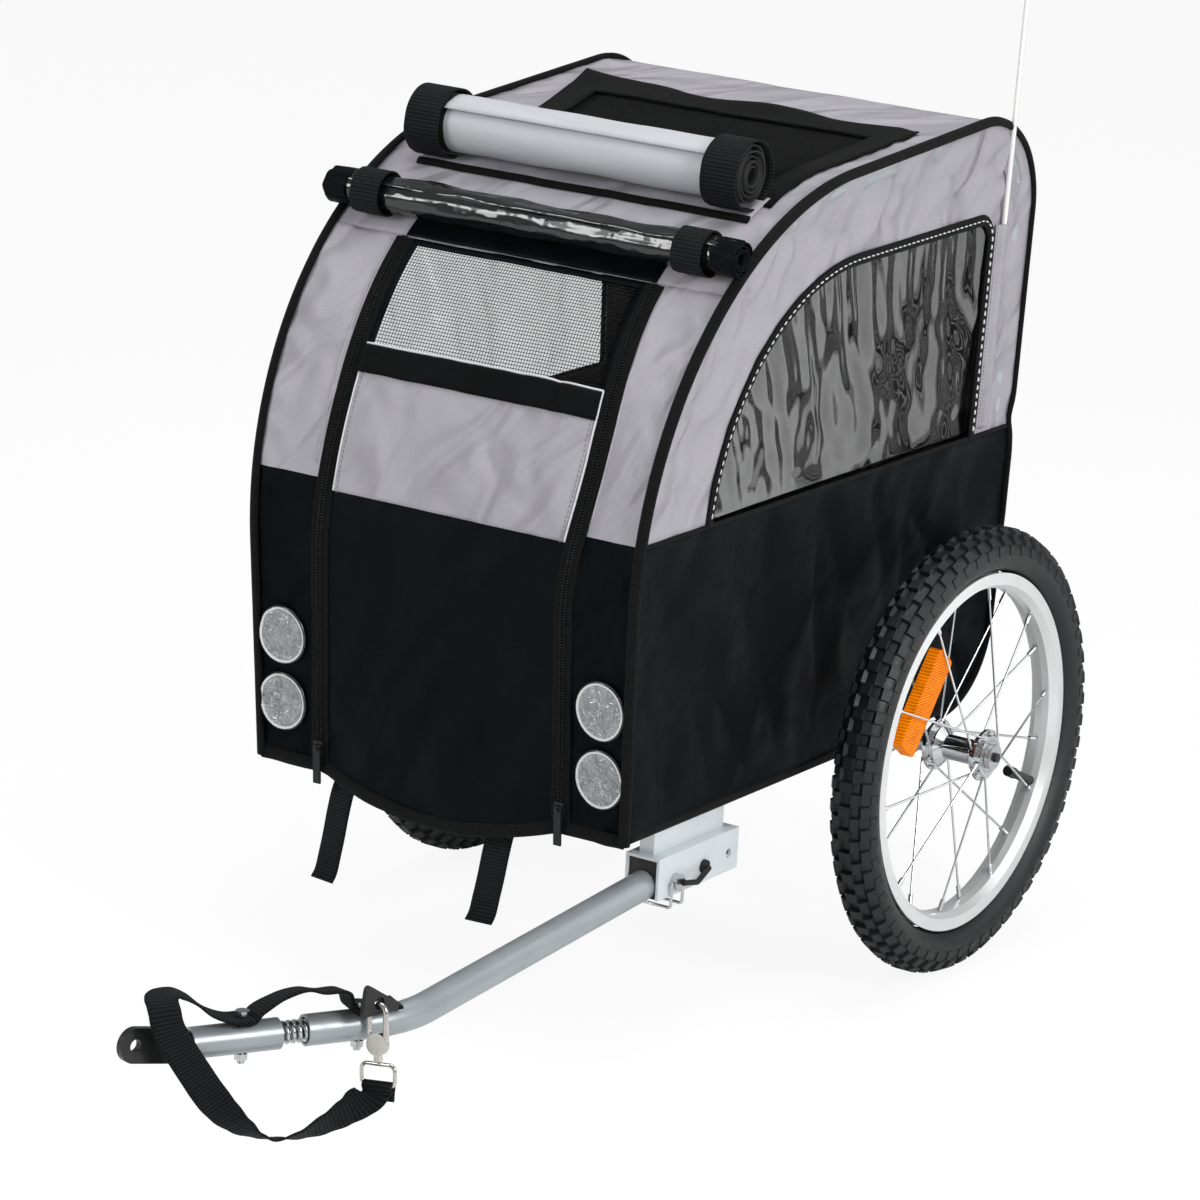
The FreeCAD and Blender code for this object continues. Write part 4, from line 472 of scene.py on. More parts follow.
def polyester(name, dark, pale, shine, gloss, folds, split=None):
    """Woven polyester in one colour, or black below the colour line when split is given."""
    material, tree, shader = finish(name, {"Specular IOR Level": shine})
    where = add(tree, "ShaderNodeTexCoord", {}, "UV")
    thread = add(tree, "ShaderNodeTexNoise", {"Vector": where, "Scale": 700, "Detail": 2.0})
    colour = add(tree, "ShaderNodeMix", {0: thread, 6: srgb(dark), 7: srgb(pale)}, 2, data_type="RGBA")
    if split:
        lower = add(tree, "ShaderNodeMix", {0: thread, 6: srgb(split[0]), 7: srgb(split[1])}, 2,
                    data_type="RGBA")
        spot = add(tree, "ShaderNodeTexCoord", {}, "Object")
        height = add(tree, "ShaderNodeSeparateXYZ", {"Vector": spot}, "Z")
        above = add(tree, "ShaderNodeMath", {0: height, 1: COLOUR_Z}, operation="GREATER_THAN")
        colour = add(tree, "ShaderNodeMix", {0: above, 6: lower, 7: colour}, 2, data_type="RGBA")
    fill(tree, shader, {"Base Color": colour, "Roughness": mottle(tree, where, 0.02, *gloss),
                        "Normal": weave(tree, where, folds)})
    return material


# The grey is matt, the black has a faint proofed sheen, and both show their threads close to.
grey_tones, black_tones = ("#9D9BA2", "#B3B0B8"), ("#03070A", "#0A1015")
grey_cloth = polyester("grey polyester", *grey_tones, 0.2, (0.62, 0.8), (0.042, 0.05))
black_cloth = polyester("black polyester", *black_tones, 0.06, (0.4, 0.54), (0.055, 0.11))
two_tone_cloth = polyester("black and grey polyester", *grey_tones, 0.05, (0.5, 0.64), (0.042, 0.05),
                           black_tones)
# The backing's dark brown is painted shade: it darkens the cloth's inner faces so the cabin's inside looks
# shaded through the windows.
backing = coated("dark backing painted as inner shade", "#15110F", "#241D1A", 0.0, (0.5, 0.7), 0.002, 0.0001)


def side_spot(side, y, z, seed, ease=1.0):
    """A point on a side panel, with the cloth's slack between its held edges."""
    edge_front = outline(run_at(min(z, 0.66)))[0].x
    held = within(min(y - edge_front, REAR_Y - y, z - SKIRT_Z) / 0.05)
    if z > COLOUR_Z:
        held = min(1.0, held * 2.5)
        slack = ripple((0, y * 0.8 + z * 0.3, z * 0.7), 0.05, 0.0065, seed)
        slack += ripple((0, y, z), 0.02, 0.0018, seed + 3)
        slack -= crease((0, (y - z) * 0.8, (y + z) * 0.35), 0.03, 0.0075, seed + 4)
    else:
        slack = ripple((0, y * 1.2, z * 0.45), 0.07, 0.007, seed)
        slack += ripple((0, y, z * 0.6), 0.028, 0.0022, seed + 3)
        slack -= crease((0, y * 0.8 + z * 0.35, z * 0.25), 0.05, 0.006, seed + 5)
    seam = min(1.0, abs(z - COLOUR_Z) / 0.025)
    return Vector((side * (half_width(z) + PROUD + slack * held * seam * ease), y, z))


def window_top(y):
    """The height of the window's upper edge over the place y."""
    if y < BOW_Y:
        return WINDOW_Z + math.sqrt(max(0.0, WINDOW_BOW ** 2 - (y - BOW_Y) ** 2))
    line = WINDOW_Z + WINDOW_BOW + (y - BOW_Y) * WINDOW_RISE
    past = y - (WINDOW_REAR - WINDOW_CORNER)
    if past > 0:
        line += math.sqrt(max(0.0, WINDOW_CORNER ** 2 - past ** 2)) - WINDOW_CORNER
    return line


def window_edge(share):
    """A point (y, z) along the window's front, top and rear edge."""
    start = math.asin((COLOUR_Z - WINDOW_Z) / WINDOW_BOW)
    corner_y = WINDOW_REAR - WINDOW_CORNER
    corner_z = window_top(corner_y) - WINDOW_CORNER
    bow, top = WINDOW_BOW * (math.pi / 2 - start), corner_y - BOW_Y
    corner, rear = WINDOW_CORNER * math.pi / 2, corner_z - COLOUR_Z
    run = share * (bow + top + corner + rear)
    if run <= bow:
        angle = start + run / WINDOW_BOW
        return BOW_Y - WINDOW_BOW * math.cos(angle), WINDOW_Z + WINDOW_BOW * math.sin(angle)
    run -= bow
    if run <= top:
        return BOW_Y + run, window_top(BOW_Y + run)
    run -= top
    if run <= corner:
        angle = run / WINDOW_CORNER
        return corner_y + WINDOW_CORNER * math.sin(angle), corner_z + WINDOW_CORNER * math.cos(angle)
    return WINDOW_REAR, corner_z - (run - corner)


def over_axle(y, low, notch):
    """The height of a side's lower edge, which rises in a notch over the axle tube."""
    reach = abs(y - AXLE_Y)
    return low if reach > notch else max(low, AXLE_Z + math.sqrt(notch ** 2 - reach ** 2))


upper_start, upper_end = run_at(COLOUR_Z), rear_run_at(COLOUR_Z)
for hand, side in SIDES:

    def lower_place(i, j, side=side):
        """A place on the black lower panel, notched over the axle tube."""
        front = outline(run_at(SKIRT_Z))[0].x + 0.004
        low = over_axle(front + (REAR_Y - 0.07 - front) * i, SKIRT_Z + HEM_UP, AXLE_NOTCH)
        z = low + (COLOUR_Z - low) * j
        front = outline(run_at(z))[0].x + TUCK
        rear = REAR_Y + rear_bulge(z) - TUCK
        if z < SKIRT_Z + FOOT_BEND:
            drop = SKIRT_Z + FOOT_BEND - z
            rear = REAR_Y - FOOT_BEND + math.sqrt(max(0, FOOT_BEND ** 2 - drop ** 2)) - TUCK
        y = front + (rear - front) * i
        return side_spot(side, y, z, 2 + side), (y, z)

    def upper_place(i, j, side=side):
        """A place on the grey arch between the window and the cabin's outline."""
        (y, z), out = outline(upper_start + (upper_end - upper_start) * i)
        inner_y, inner_z = window_edge(i)
        y = inner_y + (y - out.x * TUCK - inner_y) * j
        z = inner_z + (z - out.y * TUCK - inner_z) * j
        return side_spot(side, y, z, 5 + side, min(1.0, j / 0.3, (1 - j) / 0.15)), (y, z)

    lower = cloth(hand + "_lower_side", lower_place, 90, 40, CLOTH, black_cloth, (side, 0, 0),
                  backing=backing)
    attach(lower, "chassis")
    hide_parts(hand + "_side_panel")
    upper = cloth(hand + "_upper_side", upper_place, 120, 14, CLOTH, grey_cloth, (side, 0, 0),
                  backing=backing)
    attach(upper, "chassis")
    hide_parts(hand + "_side_panel")

# Side windows: clear soft film sewn behind the grey arch, drawn into upright ripples by the seam.
# PVC film; a grid of columns with standing waves, deepest at the top and front edges.

FILM, FILM_FRONT, FILM_LONG, FILM_LOW, FILM_OVERLAP = 0.0006, -0.0165, 0.4325, 0.458, 0.003


def window_film():
    """Clear soft film, a little cloudy in places."""
    material, tree, shader = finish("clear PVC film", {
        "Base Color": srgb("#E9EBEC"), "IOR": 1.54, "Transmission Weight": 1.0})
    where = add(tree, "ShaderNodeTexCoord", {}, "UV")
    fill(tree, shader, {"Roughness": mottle(tree, where, 0.03, 0.02, 0.07)})
    return material


film = window_film()
for hand, side in SIDES:

    def film_place(i, j, side=side):
        """A place on the rippled window film."""
        y = FILM_FRONT + FILM_LONG * i
        high = max(FILM_LOW + 0.0005, window_top(min(y, WINDOW_REAR - 0.004)) + FILM_OVERLAP)
        z = FILM_LOW + (high - FILM_LOW) * j
        free = min(1.0, (z - FILM_LOW) / 0.02, (high - z) / 0.008, (y + 0.02) / 0.02,
                   (WINDOW_REAR + 0.006 - y) / 0.012)
        slant = 0.12 + 0.55 * max(0.0, (0.3 - y) / 0.3)
        fan = y - slant * (0.65 - z)
        drawn = math.exp((z - high) / 0.06)
        waves = (ripple((0, fan, z * 0.16), 0.026, 0.0046, 11) * (0.3 + 0.7 * drawn)
                 + ripple((0, fan, z * 0.22), 0.013, 0.0014, 17) * drawn
                 + ripple((0, fan, z * 0.6), 0.08, 0.006, 13)
                 + ripple((0, y + 0.4 * z, z * 0.7), 0.019, 0.0016, 23) * (1 - drawn))
        return Vector((side * (half_width(z) - PROUD + waves * free), y, z)), (y, z)

    window = cloth(hand + "_window_film", film_place, 400, 70, FILM, film, (side, 0, 0))
    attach(window, "chassis")
    if side > 0:
        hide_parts("side_windows")

# Seam bindings: black ribbed tape folded over the edges of the side panels, and piping round the windows.
# Polyester tape, swept along each seam; the window's piping carries a dashed white reflective stitch.


def tape_finish(name, dark, pale, pitch):
    """Ribbed tape or webbing: ribs across its length with painted shade between them, and a fuzz of fibres."""
    material, tree, shader = finish(name, {"Sheen Weight": 0.02, "Specular IOR Level": 0.12})
    where = add(tree, "ShaderNodeTexCoord", {}, "UV")
    ribs = add(tree, "ShaderNodeTexWave", {"Vector": where, "Scale": WAVE / pitch, "Distortion": 0.6,
                                           "Detail": 1.0}, "Fac", wave_type="BANDS", bands_direction="Y")
    cords = add(tree, "ShaderNodeTexWave", {"Vector": where, "Scale": WAVE / (pitch * 0.7),
                                            "Distortion": 0.4}, "Fac", wave_type="BANDS", bands_direction="X")
    # The colour is darker between the ribs: painted shade in the grooves.
    colour = add(tree, "ShaderNodeMix", {0: ribs, 6: srgb(dark), 7: srgb(pale)}, 2, data_type="RGBA")
    height = add(tree, "ShaderNodeMath", {0: ribs, 1: cords}, operation="ADD")
    fill(tree, shader, {"Base Color": colour, "Roughness": mottle(tree, where, 0.004, 0.6, 0.82),
                        "Normal": add(tree, "ShaderNodeBump", {"Height": height, "Distance": 0.0004})})
    return material


def evenly(steps, place):
    """Places at even steps from the start to the end of a line."""
    return [place(step / steps) for step in range(steps + 1)]


def swept(name, spots, outs, wide, high, material, sides=10):
    """A closed tape of rounded section swept along a seam; outs point out of it, one for all or for each."""
    if isinstance(outs, Vector):
        outs = [outs] * len(spots)
    points, faces, flat = [], [], []
    run = 0.0
    last = len(spots) - 1
    for index, spot in enumerate(spots):
        heading = (spots[min(index + 1, last)] - spots[max(index - 1, 0)]).normalized()
        out = (outs[index] - heading * outs[index].dot(heading)).normalized()
        beside = heading.cross(out)
        if index:
            run += (spot - spots[index - 1]).length
        for step in range(sides):
            turn = 2 * math.pi * step / sides
            points.append(spot + beside * (wide / 2 * math.cos(turn)) + out * (high / 2 * math.sin(turn)))
            flat.append((wide * step / sides, run))
    for index in range(last):
        here, there = index * sides, (index + 1) * sides
        for step in range(sides):
            beside = (step + 1) % sides
            faces.append((here + step, here + beside, there + beside, there + step))
    faces.append(tuple(range(sides)))
    faces.append(tuple(last * sides + step for step in range(sides)))
    piece = form(name, points, faces, material)
    lay_flat(piece.data, flat)
    face_out(piece)
    return piece


def bead_group():
    """Geometry nodes that set rounded beads, such as stitches, at one pitch along a line of points."""
    group, start = repeat_group("beads along a line", {"Pitch": "Float", "Size": "Vector"})
    line = add(group, "GeometryNodeMeshToCurve", {"Mesh": start["Geometry"]})
    spots = add(group, "GeometryNodeCurveToPoints", {"Curve": line, "Length": start["Pitch"]}, "Points",
                mode="LENGTH")
    ball = add(group, "GeometryNodeMeshUVSphere", {"Segments": 6, "Rings": 4, "Radius": 0.5})
    bead = add(group, "GeometryNodeTransform", {"Geometry": ball, "Scale": start["Size"]})
    row = repeated(group, spots, bead, spots.node.outputs["Rotation"], start["Finish"])
    add(group, "NodeGroupOutput", {"Geometry": row})
    return group


bead_row = bead_group()


def beads(name, spots, pitch, size, material):
    """Stitches or zip teeth along a line of points."""
    piece = form(name, spots, [], material)
    piece.data.edges.add(len(spots) - 1)
    for index, edge in enumerate(piece.data.edges):
        edge.vertices = (index, index + 1)
    set_row(piece, bead_row, {"Pitch": pitch, "Size": size, "Finish": material})
    applied(piece)
    return piece


# The tape is dull and ribbed, at a coarser pitch than the real one so that it shows; the stitch is bright.
BINDING_WIDE, BINDING_HIGH, PIPING_WIDE, PIPING_HIGH = 0.0098, 0.0068, 0.0105, 0.0034
SEAM_WIDE, SEAM_HIGH, DASH_PITCH, DASH = 0.0042, 0.0022, 0.0074, (0.0021, 0.0014, 0.0047)
binding = tape_finish("black binding tape", "#070808", "#101113", 0.0016)
white_thread = coated("white reflective thread", "#D9DBDA", "#F3F4F3", 0.0, (0.35, 0.5), 0.0006, 0.00005)
SEAM_FRONT = outline(run_at(COLOUR_Z))[0].x
for hand, side in SIDES:
    sideways = Vector((side, 0, 0))
    spots, outs = [], []
    for step in range(241):
        (y, z), out = outline(ALL_RUN * step / 240)
        proud = 0.0008 * (1 + ripple((side, y, z), 0.02, 0.15, 21))
        spots.append(Vector((side * (half_width(z) + 0.0006), y + out.x * proud, z + out.y * proud)))
        outs.append(Vector((side * 0.7, out.x, out.y)))
    edge = swept(hand + "_binding", spots, outs, BINDING_WIDE, BINDING_HIGH, binding)
    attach(edge, "chassis")
    spots = [Vector((side * (half_width(z) + 0.0022), y, z)) for y, z in evenly(160, window_edge)]
    piping = swept(hand + "_window_piping", spots, sideways, PIPING_WIDE, PIPING_HIGH, binding)
    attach(piping, "chassis")
    spots = [spot + sideways * 0.0018 for spot in spots[2:-2]]
    dashes = beads(hand + "_window_stitching", spots, DASH_PITCH, DASH, white_thread)
    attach(dashes, "chassis")
    seam_x = side * (half_width(COLOUR_Z) + PROUD)
    spots = evenly(60, lambda share: Vector((seam_x, SEAM_FRONT + (REAR_Y - SEAM_FRONT) * share, COLOUR_Z)))
    seam = swept(hand + "_colour_seam", spots, sideways, SEAM_WIDE, SEAM_HIGH, binding)
    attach(seam, "chassis")

# Front strips, roof and rear: the panels between the two sides, grey above the colour line and black below.
# The same polyester, laid on the outline between the bindings; the front sags a little at its lower hem.

ZIP_X, ZIP_GAP, ZIP_BOWS = 0.1223, 0.0008, {1: 0.0145, -1: 0.004}
BELLY_HALF, BELLY_OUT, BELLY_DOWN = 0.118, 0.012, 0.021
DOOR_TOP = run_at(0.646)
FORWARD, FORWARD_UP = Vector((0, -1, 0)), Vector((0, -1, 0.4))
FRONT_HEM_WIDE, FRONT_HEM_HIGH, SIDE_HEM_WIDE, SIDE_HEM_HIGH = 0.012, 0.0044, 0.008, 0.004
SIDE_HEM_FRONT, SIDE_HEM_LONG, SIDE_HEM_Z, SIDE_HEM_NOTCH = -0.098, 0.505, 0.2042, 0.0165


def zip_x(side, z):
    """Where the zip on one side of the door runs at a height."""
    rise, fall = (within((z - low) / 0.13) for low in (0.385, 0.52))
    bow = rise * rise * (3 - 2 * rise) * (1 - 0.6 * fall * fall * (3 - 2 * fall))
    return side * ZIP_X + ZIP_BOWS[side] * bow


def front_spot(x, run, proud, seed, slack=1.0):
    """A point on the front, bow or roof, proud of the outline, with the cloth's slack and sag."""
    (y, z), out = outline(run)
    inside = 1 - min(1.0, abs(x) / half_width(z)) ** 2
    belly = max(0.0, 1 - (x / BELLY_HALF) ** 2)
    low = max(0.0, 1 - run / 0.16)
    waves = ripple((x * 1.2, run * 0.5, 0), 0.06, 0.0028, seed) + ripple((x, run, 0), 0.025, 0.0008, seed + 2)
    waves -= crease((x * 0.8 + run * 0.6, run * 0.6, 0), 0.04, 0.0018, seed + 6)
    seam = max(0.0, 1 - (half_width(z) - abs(x)) / 0.03)
    pucker = ripple((x * 0.3, run + x * 0.5, 0), 0.018, 0.0034, seed + 9) * seam * (1 - seam) * 4
    lift = proud + BELLY_OUT * low * belly + waves * slack * (0.4 + 0.6 * low) * inside + pucker
    drop = BELLY_DOWN * belly * max(0.0, 1 - run / 0.1) ** 2
    return Vector((x, y + out.x * lift, z + out.y * lift - drop))


for name, start, stop, body in (("left_front_hem", 0.1235, 0.184, "chassis"),
                                ("right_front_hem", -0.1235, -0.184, "chassis"),
                                ("door_hem", -0.121, 0.121, "door")):
    spots = evenly(30, lambda share: front_spot(start + (stop - start) * share, 0.003, 0.0006, 51))
    hem = swept(name, spots, FORWARD, FRONT_HEM_WIDE, FRONT_HEM_HIGH, binding)
    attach(hem, body)
for hand, side in SIDES:
    spots = []
    for step in range(81):
        y = SIDE_HEM_FRONT + SIDE_HEM_LONG * step / 80
        z = over_axle(y, SIDE_HEM_Z, SIDE_HEM_NOTCH)
        spots.append(Vector((side * (half_width(z) + 0.0012), y, z)))
    hem = swept(hand + "_side_hem", spots, Vector((side, 0, 0)), SIDE_HEM_WIDE, SIDE_HEM_HIGH, binding)
    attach(hem, "chassis")
for hand, side in SIDES:

    def strip_place(i, j, side=side):
        """A place on the front strip between the zip and the side's binding."""
        run = 0.0015 + (DOOR_TOP - 0.0015) * j
        z = outline(run)[0].y
        inner = zip_x(side, z) + side * ZIP_GAP
        x = inner + (side * (half_width(z) - 0.001) - inner) * i
        return front_spot(x, run, 0.0, 31 + side, 2.6 if run > 0.2 else 1.0), (x, run)

    strip = cloth(hand + "_front_strip", strip_place, 14, 90, CLOTH, two_tone_cloth, FORWARD_UP,
                  backing=backing)
    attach(strip, "chassis")
    if side > 0:
        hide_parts("front_strips")
    spots = evenly(40, lambda share: strip_place(0.16, 0.56 + 0.43 * share)[0])
    edge = swept(hand + "_strip_edge", spots, Vector((0, -1, 0.6)), 0.0016, 0.002, grey_cloth)
    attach(edge, "chassis")

roof_start, roof_stop = run_at(0.6462), rear_run_at(0.646)
VENT_FRONT, VENT_REAR = (FRONT_RUN + BOW_RUN + (y - bow_top.x) / math.cos(SLOPE) for y in (0.0954, 0.290))
VENT_TAPE, ROOF_SEED, ROOF_SLACK = 0.022, 41, 0.8


def vent_sides(run, inset=0.0):
    """The right and left edges of the vent's border at a run along the roof, drawn in by an inset."""
    y = outline(run)[0].x
    return -0.141 - 0.3 * (y - 0.212) + inset, 0.175 - inset


def roof_place(i, j):
    """A place on the roof, with grid lines along the vent's edges."""
    if j < 0.3:
        run = roof_start + (VENT_FRONT - roof_start) * j / 0.3
    elif j < 0.7:
        run = VENT_FRONT + (VENT_REAR - VENT_FRONT) * (j - 0.3) / 0.4
    else:
        run = VENT_REAR + (roof_stop - VENT_REAR) * (j - 0.7) / 0.3
    edge = half_width(outline(run)[0].y) - 0.001
    share = 2 * i - 1
    right, left = vent_sides(run, VENT_TAPE)
    if abs(share) <= 0.8:
        x = right + (left - right) * (share + 0.8) / 1.6
    elif share > 0:
        x = left + (edge - left) * (share - 0.8) / 0.2
    else:
        x = right - (edge + right) * (-share - 0.8) / 0.2
    return front_spot(x, run, 0.0, ROOF_SEED, ROOF_SLACK), (x, run)


roof = cloth("roof_cloth", roof_place, 50, 100, CLOTH, grey_cloth, (0, 0, 1),
             lambda i, j: 5 <= i < 45 and 30 <= j < 70, backing=backing)
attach(roof, "chassis")
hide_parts("roof_panel")


def rear_place(i, j):
    """A place on the rear panel."""
    run = roof_stop + 0.001 + (ALL_RUN - roof_stop - 0.002) * j
    x = (half_width(outline(run)[0].y) - 0.001) * (2 * i - 1)
    return front_spot(x, run, 0.0, 45), (x, run)


rear = cloth("rear_cloth", rear_place, 40, 60, CLOTH, two_tone_cloth, (0, 1, 0), backing=backing)
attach(rear, "chassis")
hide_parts("rear_panel")
for name, run in (("rear_top_binding", roof_stop), ("rear_hem", ALL_RUN - 0.001)):
    (y, z), out = outline(run)
    spots = evenly(40, lambda share: front_spot(half_width(z) * (2 * share - 1), run, 0.0005, 45))
    hem = swept(name, spots, Vector((0, out.x, out.y)), 0.009, 0.005, binding)
    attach(hem, "chassis")

# Roof vent: black netting in a border of hook-and-loop tape, wavy along its free rear edge.
# Knitted polyester net as a grid of fine bars; the border is a flat sheet with the net's opening in it.

NET_TUCK, ROOF_BAR = 0.006, 0.0012  # the bars stand about twice as far apart as the real ones, to show
# The net's bars have a dull shine, and hook-and-loop tape is matt with a coarse pile.
net_finish = coated("black polyester net", "#08090A", "#141516", 0.0, (0.5, 0.7), 0.0008, 0.00005,
                    {"Specular IOR Level": 0.2})
pile = coated("black hook-and-loop tape", "#060707", "#0F1012", 0.0, (0.85, 0.95), 0.0007, 0.0004,
              {"Sheen Weight": 0.02, "Specular IOR Level": 0.1})


def net(name, place, across, along, bar, material):
    """A knitted net: a grid of square bars on a surface."""
    points, _, faces = grid(place, across, along)
    piece = form(name, points, faces, material, False)
    bars = piece.modifiers.new("bars", "WIREFRAME")
    bars.thickness = bar
    bars.use_even_offset = False
    bars.use_boundary = True
    applied(piece)
    return piece


def roof_net_place(i, j):
    """A place on the roof's netting, which reaches a little under its border."""
    run = VENT_FRONT - NET_TUCK + (VENT_REAR - VENT_FRONT + 2 * NET_TUCK) * j
    right, left = vent_sides(run, VENT_TAPE - NET_TUCK)
    x = right + (left - right) * i
    return front_spot(x, run, -0.0026, ROOF_SEED, ROOF_SLACK), (x, run)


roof_net = net("roof_net", roof_net_place, 84, 60, ROOF_BAR, net_finish)
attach(roof_net, "chassis")
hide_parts("roof_mesh")


def vent_place(i, j):
    """A place on the border round the vent; its rear edge waves."""
    share = 2 * i - 1
    front, inner = VENT_FRONT - 0.02, VENT_REAR - NET_TUCK
    rear = VENT_REAR + 0.026 + 0.018 * max(0.0, -share) + 0.024 * max(0.0, share - 0.5)
    rear += 0.004 * math.sin(7 * share) - 0.14 * max(0.0, share - 0.88)
    if j < 0.875:
        run = front + (inner - front) * j / 0.875
    else:
        run = inner + (rear - inner) * (j - 0.875) / 0.125
    right, left = vent_sides(run)
    x = right + (left - right) * i
    curl = 0.04 * max(0.0, j - 0.9) * (0.4 + 0.6 * math.sin(5 * share + 1)) ** 2
    lift = 0.0016 + curl + 0.01 * max(abs(share) - 0.9, 0)
    return front_spot(x, run, lift, ROOF_SEED, ROOF_SLACK), (x, run)


border = cloth("vent_border", vent_place, 60, 48, 0.0015, pile, (0, 0, 1),
               lambda i, j: 5 <= i < 55 and 6 <= j < 41)
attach(border, "chassis")

# Front door: a lifting panel, black below, netting above, with a grey pocket and a hook-and-loop strip.
# Polyester on the bow, hung from its top edge and closed by a zip on each side; all of it lifts together.

NET_LOW, NET_HIGH, DOOR_BAR, DOOR_SEED = run_at(0.552), run_at(0.642), 0.00085, 51
POCKET_LOW, POCKET_HIGH, POCKET_PROUD, POCKET_INSET = run_at(0.447), run_at(0.566), 0.0022, 0.0095
STITCH_PITCH, STITCH = 0.0042, (0.0008, 0.0008, 0.0028)


def door_x(i, run, inset):
    """The place across the door at a run, set in from both zips."""
    z = outline(run)[0].y
    right, left = zip_x(-1, z) + inset, zip_x(1, z) - inset
    return right + (left - right) * i


def door_place(i, j):
    """A place on the door between its zips, with grid lines along the netting's edges."""
    if j < 0.8:
        run = 0.002 + (NET_LOW - 0.002) * j / 0.8
    else:
        run = NET_LOW + (DOOR_TOP - 0.001 - NET_LOW) * (j - 0.8) / 0.2
    x = door_x(i, run, ZIP_GAP)
    return front_spot(x, run, 0.0, DOOR_SEED), (x, run)


door = cloth("door_cloth", door_place, 40, 100, CLOTH, black_cloth, FORWARD_UP,
             lambda i, j: 2 <= i < 38 and 80 <= j < 99)
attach(door, "door")
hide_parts("front_door")


def door_net_place(i, j):
    """A place on the door's netting."""
    run = NET_LOW - 0.004 + (NET_HIGH - NET_LOW + 0.008) * j
    x = door_x(i, run, 0.01)
    return front_spot(x, run, -0.0022, DOOR_SEED), (x, run)


door_net = net("door_net", door_net_place, 84, 40, DOOR_BAR, net_finish)
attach(door_net, "door")
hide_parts("door_mesh")


def pocket_place(i, j, proud=POCKET_PROUD):
    """A place on the grey pocket in front of the door."""
    run = POCKET_LOW + (POCKET_HIGH - POCKET_LOW) * j
    x = door_x(i, run, POCKET_INSET)
    bulge = 0.004 * math.sin(math.pi * i) * j
    rumple = ripple((x, run * 0.8, 0), 0.04, 0.0042, 57)
    rumple -= crease((x * 0.9 + run * 0.4, run * 0.5, 0), 0.032, 0.0065, 58)
    free = min(1.0, 6 * i, 6 * (1 - i), 6 * j)
    return front_spot(x, run, proud + bulge + max(-0.0018, 0.002 + rumple) * free, DOOR_SEED), (x, run)


def strip_on_pocket(i, j):
    """A place on the hook-and-loop strip along the pocket's upper edge."""
    return pocket_place(i, 0.80 + 0.19 * j, 0.0042)


pocket = cloth("door_pocket", pocket_place, 40, 40, CLOTH, grey_cloth, FORWARD_UP)
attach(pocket, "door")
strip = cloth("pocket_strip", strip_on_pocket, 40, 8, CLOTH, pile, FORWARD_UP)
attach(strip, "door")
# The pocket's folded edges show the cloth's pale wrong side, sewn with grey thread.
pale_edge = coated("pale folded edge", "#C9C7CB", "#E6E5E8", 0.0, (0.6, 0.8), 0.001, 0.0001)
grey_thread = coated("grey sewing thread", "#6B6970", "#85838A", 0.0, (0.6, 0.8), 0.0006, 0.00004)
edge = swept("pocket_edge", evenly(40, lambda share: pocket_place(share, 1)[0]), Vector((0, -1, 0.6)),
             0.0022, 0.0024, pale_edge)
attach(edge, "door")
for name, across, inset in (("right", 0.0, 0.016), ("left", 1.0, 0.984)):
    spots = evenly(40, lambda share: pocket_place(across, share, 0.0018)[0])
    edge = swept(f"pocket_{name}_edge", spots, FORWARD_UP, 0.0017, 0.0022, pale_edge)
    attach(edge, "door")
    spots = evenly(40, lambda share: pocket_place(inset, share, 0.0024)[0])
    stitches = beads(f"pocket_{name}_stitching", spots, STITCH_PITCH, STITCH, grey_thread)
    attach(stitches, "door")

BAND_RIGHT, BAND_WIDE, BAND_HIGH = -0.1215, 0.249, 0.0225


def band_place(i, j):
    """A place on the black band that covers the door's upper seam."""
    run = DOOR_TOP + 0.0004 + BAND_HIGH * j
    x = BAND_RIGHT + BAND_WIDE * i
    return front_spot(x, run, 0.0007, ROOF_SEED, ROOF_SLACK), (BAND_WIDE * i, BAND_HIGH * j)


band = cloth("door_top_band", band_place, 40, 6, 0.0012, black_cloth, (0, -1, 0.6))
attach(band, "chassis")

# Zips: a black coil zip down each side of the door, its slider at the bottom.
# Woven tape in two halves, one on the door and one on the strip, with a coil of teeth between them.

TAPE_WIDE, TOOTH_PITCH, TOOTH = 0.0080, 0.0024, (0.0034, 0.0018, 0.0017)
# The tape is matt, the nylon coil has a soft shine, and the enamelled sliders a hard one.
zip_tape = tape_finish("black zip tape", "#070808", "#111214", 0.0011)
coil = coated("black nylon zip coil", "#060708", "#111315", 0.0, (0.42, 0.58), 0.0005, 0.00002,
              {"Specular IOR Level": 0.2})
for hand, side in SIDES:
    for half, body, way in (("door", "door", -side), ("strip", "chassis", side)):

        def tape_place(i, j, side=side, way=way):
            """A place on one half of the zip's tape."""
            run = 0.003 + (DOOR_TOP - 0.005) * j
            x = zip_x(side, outline(run)[0].y) + way * (0.0006 + TAPE_WIDE * i)
            return front_spot(x, run, 0.0011 + 0.0007 * (1 - i), DOOR_SEED), (0.01 * i, run)

        tape = cloth(f"{hand}_zip_{half}_tape", tape_place, 4, 120, 0.001, zip_tape, FORWARD_UP)
        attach(tape, body)
        spots = evenly(120, lambda share: tape_place(0.12, share)[0] + Vector((0, -0.0006, 0.0002)))
        teeth = beads(f"{hand}_zip_{half}_teeth", spots, TOOTH_PITCH, TOOTH, coil)
        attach(teeth, body)
black_enamel = coated("black enamelled zinc", "#15171A", "#2B2E31", 0.6, (0.25, 0.4), 0.002, 0.00002)
dress(black_enamel, "left_zip_slider", "right_zip_slider", "left_zip_pull", "right_zip_pull")

# Front reflectors: four round reflective patches sewn beside the zips, two on each strip.
# Crinkled silver film under clear vinyl with a pale heat-sealed rim; each is a shallow dish of rings.

PATCH_X, PATCH_HEIGHTS, PATCH_HALF_WIDTH, PATCH_HALF_HEIGHT = 0.1605, (0.312, 0.253), 0.0245, 0.0262
PATCH_RINGS, PATCH_STEPS, PLAIN_RINGS = 14, 48, 11
